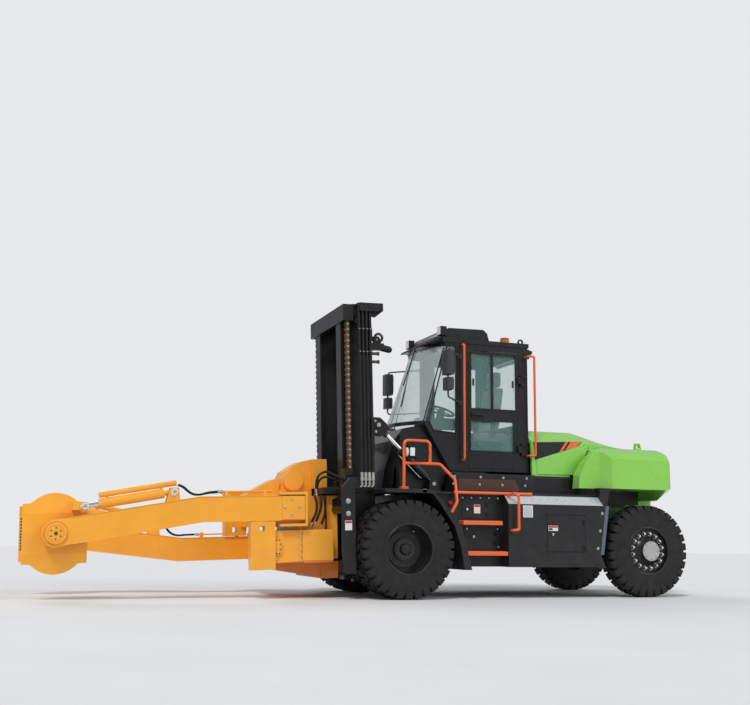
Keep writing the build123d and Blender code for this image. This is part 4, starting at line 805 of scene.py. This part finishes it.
def cab_trim():
    wins = ((-1101, -1795, 2490, 3265), (-1092, -1752, 1915, 2340))
    quarter = ((-889, 3335), (-757, 3335), (-487, 2300), (-560, 2175), (-889, 2150))
    cap = ((-690, 3446), (-704, 3520), (-810, 3600), (-1335, 3612), (-1392, 3560), (-1425, 3446))
    for s, side in SIDES:
        seals = []
        for x0, x1, z0, z1 in wins:
            for lo, hi in (((x1, z0 - 4), (x0, z0 + 14)), ((x1, z1 - 14), (x0, z1 + 4)),
                           ((x1 - 4, z0), (x1 + 14, z1)), ((x0 - 14, z0), (x0 + 4, z1))):
                seals.append((box, (lo[0], s * 644, lo[1]), (hi[0], s * 650, hi[1])))
        build("window_seal_" + side, seals, PLASTIC, "cab_door" if s == 1 else CHASSIS, 0.002)
        corners = flat(s * CAB_Y, quarter)
        bars = [(rod, a, b, 0.008, 10) for a, b in zip(corners, corners[1:] + corners[:1])]
        build("quarter_seal_" + side, bars, PLASTIC)
        seal = (rod, at(-703, s * CAB_Y, 3300), at(-403, s * CAB_Y, 2264), 0.008, 12)
        build("corner_seal_" + side, [seal], PLASTIC)
    bar = [(box, (-1415, 622, 2492), (-1445, 650, 3262))]
    bar += [(box, (x - 12, 644, 2810), (x + 12, 664, 2905)) for x in (-1140, -1740)]
    build("window_bar", bar, PLASTIC, "cab_door", 0.003)
    wiper = [(rod, at(-548, 0, 3375), at(-350, 60, 2840), 0.009, 10),
             (rod, at(-525, -120, 3180), at(-250, 250, 2520), 0.008, 10)]
    build("front_wiper", wiper, PLASTIC)
    handle = [(rod, at(-1130, 672, 2410), at(-1280, 672, 2410), 0.012, 14),
              (box, (-1115, 645, 2370), (-1155, 662, 2450))]
    build("door_handle", handle, PLASTIC, "cab_door", 0.002)
    build("roof_cap", [(plate, flat(-590, cap), LEFT * 1.18)], CAB_BLACK, bevel=0.014)
    louvres = []
    for k in range(8):
        x = -560 - 15 * k
        z = 3400 + 8 * k
        louvres.append((box, (x - 5, -560, z), (x + 5, 560, z + 10)))
    build("visor_louvres", louvres, PLASTIC, bevel=0.001)


def mirrors():
    for s, side in SIDES:
        glass = [(box, (-621.5, s * 1045, 2880), (-620, s * 1205, 3148)),
                 (box, (-611.5, s * 1052, 2672), (-610, s * 1198, 2800))]
        build("mirror_glass_" + side, glass, CHROME)
        x, y = MIRROR
        clamps = [(rod, at(x, s * y, z), at(x, s * y, z + 20), 0.018, 16) for z in (2880, 3140)]
        build("mirror_clamps_" + side, clamps, PLASTIC)


def seat():
    """Grey suspension seat with sewn cushion, back and headrest."""
    def cushion(name, lo, hi, puff):
        obj = build(name, [(box, lo, hi)], FABRIC)
        m = obj.modifiers.new("round", "BEVEL")
        m.width = puff
        m.segments = 3
        sub = obj.modifiers.new("sub", "SUBSURF")
        sub.levels = 2
        sub.render_levels = 2
        return obj
    base = cushion("seat_cushion", (-1780, -112, 2075), (-1245, 412, 2205), 0.045)
    back = cushion("seat_back", (-1690, -92, 2215), (-1560, 392, 2850), 0.05)
    for v in back.data.vertices:
        v.co.x += -0.06 if v.co.z > 2.5 else 0.03
    cushion("seat_headrest", (-1752, 5, 2868), (-1625, 295, 3085), 0.04)
    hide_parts("driver_seat")
    parts = [(box, (-1740, -70, 1700), (-1360, 370, 1790))]
    for k in range(6):
        step = k * 4
        z = 1795 + k * 38
        parts.append((box, (-1730 + step, -60 + step, z), (-1370 - step, 360 - step, z + 27)))
    parts.append((box, (-1740, -80, 2025), (-1340, 380, 2078)))
    parts += [(rod, at(-1680, y, 2830), at(-1690, y, 2885), 0.008, 12) for y in (90, 210)]
    build("seat_suspension", parts, PLASTIC, bevel=0.004)
    rest = [(box, (-1560, 425, 2330), (-1240, 480, 2385)), (box, (-1560, 425, 2130), (-1500, 470, 2340))]
    build("seat_armrest", rest, PLASTIC, bevel=0.012)


# Mast hoses, in the upright frame: their places along X, and their ends
HOSE_X = (312, 363, 414, 465)
HOSE_Y = 800
HOSE_TOP = 3700
HOSE_END = 1577
# Fitting below each hose: top, bottom, radius and sides of its rods
HOSE_FITTING = ((HOSE_END - 2, 1505, 0.0215, 20), (1560, 1552, 0.0235, 20), (1540, 1532, 0.0235, 20),
                (1520, 1512, 0.0235, 20), (1505, 1470, 0.025, 6), (1470, 1400, 0.014, 16),
                (1442, 1422, 0.020, 6))
SHACKLE = (95, 520, 3385)
SHACKLE_R = 0.052
SHACKLE_WIRE = 0.018


def mast_trim():
    for k, x in enumerate(HOSE_X):
        route = [(x - 14, 690, 3740), (x - 10, 692, 3772), (x - 6, 745, 3788)]
        route += [(x, HOSE_Y, z) for z in (3772, 3725, HOSE_TOP, 3000, 2300, HOSE_END)]
        tube_piece("mast_hose_%d" % k, route, 0.0185, "mast_inner")
    guard = ((142, 3756), (466, 3756), (466, 3690), (440, 3676), (200, 3676), (142, 3704))
    parts = [(plate, flat(824, guard, up), LEFT * 0.012), (box, (142, 690, 3690), (154, 826, 3756), up),
             (box, (454, 690, 3692), (466, 826, 3756), up)]
    build("hose_guard", parts, MAST_BLACK, "mast_inner", 0.003)
    parts = [(box, (300, 768, 3100), (478, 775, 3740), up)]
    parts += [(box, (x, 748, 3110), (x + 8, 770, 3740), up) for x in (300, 470)]
    build("hose_carrier", parts, MAST_BLACK, "mast_inner", 0.002)
    for k, z in enumerate((3440, 3140)):
        parts = [(rod, up(x, HOSE_Y + 19, z), up(x, HOSE_Y + 27, z), 0.008, 6) for x in HOSE_X]
        build("mast_hose_clamp_bolts_%d" % k, parts, STEEL, "mast_inner")
        parts = [(box, (292, 776, z - 18), (485, 782, z + 18), up),
                 (box, (292, 819, z - 11), (485, 823, z + 11), up)]
        build("mast_hose_clamp_%d" % k, parts, MAST_BLACK, "mast_inner", 0.002)
    turns = [math.tau * i / 10 for i in range(10)]
    wire = [(math.cos(a) * SHACKLE_WIRE, SHACKLE_R + math.sin(a) * SHACKLE_WIRE) for a in turns]
    ear = ((258, 2300), (150, 2296), (58, 2212), (36, 2160), (66, 2086), (150, 2046), (258, 2052))
    for s, side in SIDES:
        out = LEFT * s
        x, y, z = SHACKLE
        shackle = (ring, up(x, s * y, z), out, wire, 36)
        build("mast_shackle_" + side, [shackle], DARK_STEEL, "mast_outer")
        parts = [(box, (30, s * 470, 3215), (206, s * 560, 3305), up),
                 (rod, up(95, s * 498, 3330), up(95, s * 542, 3330), 0.032, 24),
                 (rod, up(60, s * 520, 3250), up(-60, s * 520, 3225), 0.046, 24),
                 (rod, up(-60, s * 520, 3225), up(-84, s * 520, 3220), 0.036, 6)]
        build("mast_bracket_" + side, parts, MAST_BLACK, "mast_outer", 0.004)
        parts = []
        for z in (3170, 3060):
            parts += [(rod, up(206, s * 500, z), up(110, s * 500, z), 0.020, 20),
                      (rod, up(110, s * 500, z), up(86, s * 500, z), 0.026, 6)]
        build("mast_top_fittings_" + side, parts, DARK_STEEL, "mast_outer")
        parts = [(plate, flat(s * 664.5, ear, up), out * 0.009)]
        build("mast_ear_plate_" + side, parts, MAST_BLACK, "mast_outer", 0.002)
        spots = flat(s * 673, ((222, 2250), (214, 2110)), up)
        bolts("mast_ear_bolts_" + side, spots, out, 0.013, "mast_outer")


def squash_hoses():
    for k in range(len(HOSE_X)):
        hose = bpy.data.objects["mast_hose_%d" % k]
        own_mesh(hose)


SIDE_PLATE_Y = 1070


def carriage_trim():
    for s, side in SIDES:
        spots = flat(s * SIDE_PLATE_Y, ((745, 1208), (745, 1054)), up)
        bolts("side_plate_bolts_" + side, spots, LEFT * s, 0.024, "carriage")
        label = (box, (700, s * SIDE_PLATE_Y, 850), (790, s * 1071.5, 969), up)
        build("side_plate_label_" + side, [label], WHITE, "carriage", 0.0005)
        band = (box, (704, s * SIDE_PLATE_Y, 935), (786, s * 1072.3, 964), up)
        build("side_plate_label_band_" + side, [band], RED, "carriage", 0.0003)
    parts = [(box, (285, 768, 1395), (665, 778, 1520), up), (box, (640, 640, 1310), (668, 776, 1400), up)]
    parts += [(box, (x - 17, 776, 1440), (x + 17, 790, 1500), up) for x in HOSE_X]
    build("hose_manifold", parts, MAST_BLACK, "carriage", 0.004)
    parts = []
    for x in HOSE_X:
        for top, low, radius, sides in HOSE_FITTING:
            parts.append((rod, up(x, HOSE_Y, top), up(x, HOSE_Y, low), radius, sides))
        parts.append((rod, up(x - 2, HOSE_Y, 1402), up(x + 34, HOSE_Y, 1386), 0.014, 16))
    build("hose_fittings", parts, STEEL, "carriage", angle=30)


CHAIN_X = 587
CHAIN_Y = 660
CHAIN_FOOT = 1650
CHAIN_ROWS = 7
CHAIN_PINS = 26
LINK = 75
LINK_R = 29
LINK_WAIST = 19


def link_outline(y, z):
    """Outline of one link plate between two pins, rounded about each and narrower between."""
    points = arc(up, CHAIN_X, y, z + LINK, LINK_R, 0, math.pi, 8)
    points.append(up(CHAIN_X - LINK_WAIST, y, z + LINK / 2))
    points += arc(up, CHAIN_X, y, z, LINK_R, math.pi, math.pi, 8)
    points.append(up(CHAIN_X + LINK_WAIST, y, z + LINK / 2))
    return points


def chain_links():
    """Interleaved link plates and pin heads of each leaf chain."""
    for s, side in SIDES:
        parts = []
        for row in range(CHAIN_ROWS):
            y = s * CHAIN_Y - 36 + row * 10.6
            for n in range(row % 2, CHAIN_PINS - 1, 2):
                parts.append((plate, link_outline(y, CHAIN_FOOT + n * LINK), LEFT * 0.0086))
        build("chain_plates_" + side, parts, CHAIN, "mast_inner", angle=30)
        parts = []
        for n in range(CHAIN_PINS):
            z = CHAIN_FOOT + n * LINK
            for face, head in ((36.5, 1.2), (-36.2, -1.2)):
                y = s * CHAIN_Y + face
                parts.append((rod, up(CHAIN_X, y, z), up(CHAIN_X, y + head, z), 0.012, 12))
        build("chain_pins_" + side, parts, STEEL, "mast_inner")


def teardrop(name, place, x, y, z, tip, out, body):
    """Pin keeper: a round plate about the pin that narrows to its bolt."""
    heading = math.atan2(tip[1], tip[0])
    bolt_x = x + tip[0]
    bolt_z = z + tip[1]
    face = out * 0.010
    points = arc(place, x, y, z, 40, heading + math.radians(55), math.radians(250), 14)
    points += arc(place, bolt_x, y, bolt_z, 17, heading - math.radians(70), math.radians(140), 4)
    build(name, [(plate, points, face)], WHITE, body, 0.002)
    parts = [(bolt, place(bolt_x, y, bolt_z) + face, out, 0.011, False),
             (rod, place(x, y, z) + face, place(x, y, z) + out * 0.014, 0.022, 24)]
    build(name + "_bolt", parts, STEEL, body, angle=25)


# The pads' pins along X, and the turned seams about them
PIN_X = 4200
CAP_SEAM = ((-0.004, 0.088), (0.0015, 0.088), (0.0015, 0.092), (-0.004, 0.092))
BOSS_SEAM = ((-0.003, 0.136), (0.006, 0.136), (0.006, 0.146), (-0.003, 0.146))
# Edges of each arm's bar, outer side, from the housing over the bend to the pad
ARM_EDGES = (("low", ((1560, 991), (2500, 991), (4010, 769)), -7),
             ("top", ((1560, 1283), (2548, 1283), (4060, 1061)), 7))


def pad_trim():
    for side, place, out in MIRRORED:
        body = "pad_" + side
        face = place(PIN_X, 886, AXIS_Z)
        spots = ring_points(face, 0.062, 6, math.radians(30))
        parts = [(rod, p - out * 0.002, p + out * 0.001, 0.0095, 16) for p in spots]
        parts.append((rod, face - out * 0.002, face + out * 0.006, 0.020, 24))
        build("pad_cap_holes_" + side, parts, DARK_STEEL, body)
        # The seam about the cap is in the darker orange of painted shade
        build("pad_cap_seam_" + side, [(ring, face, out, CAP_SEAM, 72)], CLAMP_SHADED, body)
        heights = range(AXIS_Z - 190, AXIS_Z + 200, 38)
        parts = [(box, (3850, 607, z - 12), (4550, 610, z + 12), place) for z in heights]
        build("pad_facing_" + side, parts, DARK_STEEL, body, 0.002)
        teardrop("pad_pin_keeper_" + side, place, 3880, 865, 1195, (42, -8), out, body)
        boss = (ring, place(PIN_X, 860, AXIS_Z), out, BOSS_SEAM, 72)
        build("arm_boss_seam_" + side, [boss], CLAMP, "arm_" + side)


def arm_trim():
    for side, place, out in HALF_TURNED:
        body = "arm_" + side
        build("root_plate_" + side, [(box, (1245, 860, 998), (1531, 868, 1280), place)], CLAMP, body, 0.004)
        spots = flat(868, ((1409, 1240), (1500, 1147), (1312, 1147), (1409, 1056)), place)
        bolts("root_plate_bolts_" + side, spots, out, 0.013, body)
        for name, ends, rise in ARM_EDGES:
            parts = []
            for (x0, z0), (x1, z1) in zip(ends, ends[1:]):
                outline = ((x0, z0), (x1, z1), (x1, z1 + rise), (x0, z0 + rise))
                parts += [(plate, flat(y, outline, place), out * 0.014) for y in (733, 853)]
            build("arm_flange_%s_%s" % (name, side), parts, CLAMP, body, 0.0015)
    # The heights of the cylinder's eye and of the pipes, which lie on top of each arm
    for (side, place, out), eye, low in zip(MIRRORED, (1352, 955), (1288, 793)):
        body = "arm_" + side
        teardrop("clevis_keeper_" + side, place, 2850, 855, eye, (22, -38), out, body)
        tail = eye + 80
        for k, y in enumerate((776, 818)):
            route = [(2800, y, tail), (2740, y, tail - 20), (2690, y, (tail + low) / 2)]
            rises = (26, 24, 46 + 8 * k, 52 + 8 * k) if side == "left" else (50, 30, 40, 40)
            route += [(x, y, low + rise) for x, rise in zip((2620, 2530, 2440, 2330), rises)]
            tube_piece("arm_hose_%d_%s" % (k, side), route, 0.013, body, place)
            x, y, z = route[-1]
            fitting("arm_hose_end_%d_%s" % (k, side), place(x - 40, y, z), -FRONT, 0.012, body)
            pipe = (rod, place(x - 70, y, z), place(1640, y, z), 0.009, 12)
            build("arm_pipe_%d_%s" % (k, side), [pipe], CLAMP, body)
        parts = [(box, (x, 760, low - 4), (x + 40, 834, low + 66), place) for x in (2200, 1720)]
        build("arm_pipe_clamps_" + side, parts, CLAMP, body, 0.003)


# Routes of the hoses on the gripper's head
HEAD_HOSES = (
    ((520, 732, 1400), (645, 730, 1470), (780, 700, 1535), (905, 690, 1600), (1000, 680, 1560),
     (1040, 670, 1460), (1030, 650, 1330)),
    ((520, 725, 1370), (655, 722, 1440), (790, 640, 1500), (900, 590, 1540), (975, 585, 1490),
     (1000, 580, 1400), (1000, 570, 1330)),
    ((990, 700, 1290), (985, 730, 1200), (1010, 745, 1100), (1050, 740, 1000), (1070, 700, 930)),
    ((1060, 680, 1290), (1040, 720, 1180), (1060, 735, 1060), (1110, 725, 980), (1120, 700, 920)),
    ((940, 690, 1280), (930, 720, 1150), (950, 735, 1030), (985, 720, 940), (1000, 690, 900)),
)


def clamp_trim():
    quarter = math.pi / 2
    for side, place, out in HALF_TURNED:
        spots = [place(1286, 800, z) for z in (486, 560, 635, 710, 785, 852)]
        bolts("housing_bolts_" + side, spots, out, 0.009, "carriage")
        points = flat(800, ((1612, 570), (1612, 766)), place)
        points += arc(place, 1560, 800, 734, 32, quarter, quarter, 8)
        points += arc(place, 1560, 800, 602, 32, math.pi, quarter, 8)
        build("d_cover_" + side, [(plate, points, out * 0.012)], CLAMP, "carriage", 0.003)
        spots = ((1594, 748), (1556, 748), (1546, 700), (1546, 636), (1556, 588), (1594, 588))
        bolts("d_cover_bolts_" + side, flat(812, spots, place), out, 0.007, "carriage", DARK_STEEL)
    for k, route in enumerate(HEAD_HOSES):
        tube_piece("clamp_hose_%d" % k, route, 0.016, "carriage")
        end = up(*route[-1])
        fitting("clamp_hose_end_%d" % k, end, end - up(*route[-2]), 0.015, "carriage")
    for k, x in enumerate(HOSE_X):
        route = ((x + 30, 800, 1388), (x + 95, 799, 1376), (x + 165, 785, 1340), (668, 758, 1290 - 40 * k),
                 (730, 670, 1250 - 35 * k), (820, 560, 1220 - 30 * k))
        tube_piece("carriage_hose_%d" % k, route, 0.017, "carriage")


# Pins of the tilt cylinders: X and Z at the cab and at the mast, and their distance from the middle
TILT_FOOT = (-560, 1465)
TILT_EYE = (172, 2200)
TILT_Y = 612


def cylinder_trim():
    """Ports, pipe, collar and pin heads of the tilt cylinders."""
    for s, side in SIDES:
        body = "tilt_barrel_" + side
        a, head, head_end = [at(TILT_FOOT[0], s * y, TILT_FOOT[1]) for y in (TILT_Y, 656, 668)]
        b, eye = [up(TILT_EYE[0], s * y, TILT_EYE[1]) for y in (TILT_Y, 664)]
        d = (b - a).normalized()
        across = d.cross(LEFT).normalized() * -1
        spots = [a + d * k for k in (0.17, 0.60)]
        parts = [(rod, p + across * 0.045, p + across * 0.075, 0.018, 16) for p in spots]
        build("tilt_ports_" + side, parts, BLACK, body)
        low, high = [p + across * 0.07 for p in spots]
        build("tilt_pipe_" + side, [(rod, low, high, 0.010, 12)], STEEL, body)
        collar = (rod, b - d * 0.185, b - d * 0.14, 0.043, 32)
        build("tilt_rod_collar_" + side, [collar], DARK_STEEL, "tilt_rod_" + side, 0.003)
        build("tilt_pin_head_" + side, [(rod, head, head_end, 0.028, 6)], STEEL)
        build("mast_pin_head_" + side, [(rod, eye, eye + LEFT * s * 0.012, 0.03, 6)], STEEL, "mast_outer")


# Doors of the step lockers, upper and lower: box, corner bolts, lock and hinges
LOCKER_DOORS = (
    ((-1225, -805, 1010, 1275), (), (-871, 1127), ((-1151, 1190), (-1150, 1062))),
    ((-1340, -830, 625, 900), ((-870, 880), (-1307, 880), (-1320, 650), (-850, 650)), (-963, 780),
     ((-1269, 818), (-1267, 700))),
)
STUD_PITCH = 45


def step_trim():
    for s, side in SIDES:
        for k, ((x0, x1, z0, z1), corners, lock, hinges) in enumerate(LOCKER_DOORS):
            door = (box, (x0, s * LOCKER_Y, z0), (x1, s * 1017, z1))
            build("locker_door_%d_%s" % (k, side), [door], BLACK, bevel=0.004)
            if corners:
                bolts("locker_bolts_" + side, flat(s * 1017, corners), LEFT * s, 0.009)
            quarter_turn("locker_lock_%d_%s" % (k, side), *lock, s, 1017)
            parts = [(hinge_leaf, x, z, s, 1016) for x, z in hinges]
            build("locker_hinges_%d_%s" % (k, side), parts, PLASTIC, bevel=0.001)
        blank_label("locker_label_" + side, -971, 1079, (90, 112), 1016.5, s, 0.28)
        parts = [(hinge_leaf, x, z, s, 1202) for x, z in ((-2483, 984), (-2486, 644))]
        build("cabinet_hinges_" + side, parts, PLASTIC, "cabinet_door_" + side, 0.001)
        for k, (x0, x1, z) in enumerate(((-1290, -751, 981), (-1364, -812, 594))):
            count = int((x1 - x0) / STUD_PITCH)
            parts = []
            for i in range(count + 1):
                x = x0 + 12 + i * (x1 - x0 - 24) / count
                for y in range(1038, 1153, 38):
                    parts.append((rod, at(x, s * y, z - 1), at(x, s * y, z + 4), 0.011, 8, 0.007))
            build("tread_studs_%d_%s" % (k, side), parts, ORANGE)


def steering():
    place = at(-880, 150, 2500)
    d = Vector((-0.35, 0, 1)).normalized()
    build("wheel_boss", [(rod, place - d * 0.02, place + d * 0.03, 0.045, 28, 0.035)], PLASTIC)
    build("cab_display", [(box, (-640, -180, 2250), (-610, 60, 2420))], PLASTIC, bevel=0.008)


wheels()
chassis_trim()
perforated_panels()
hood_trim()
lights()
cab_trim()
mirrors()
seat()
mast_trim()
squash_hoses()
carriage_trim()
chain_links()
pad_trim()
arm_trim()
clamp_trim()
cylinder_trim()
step_trim()
steering()
camera()
studio()
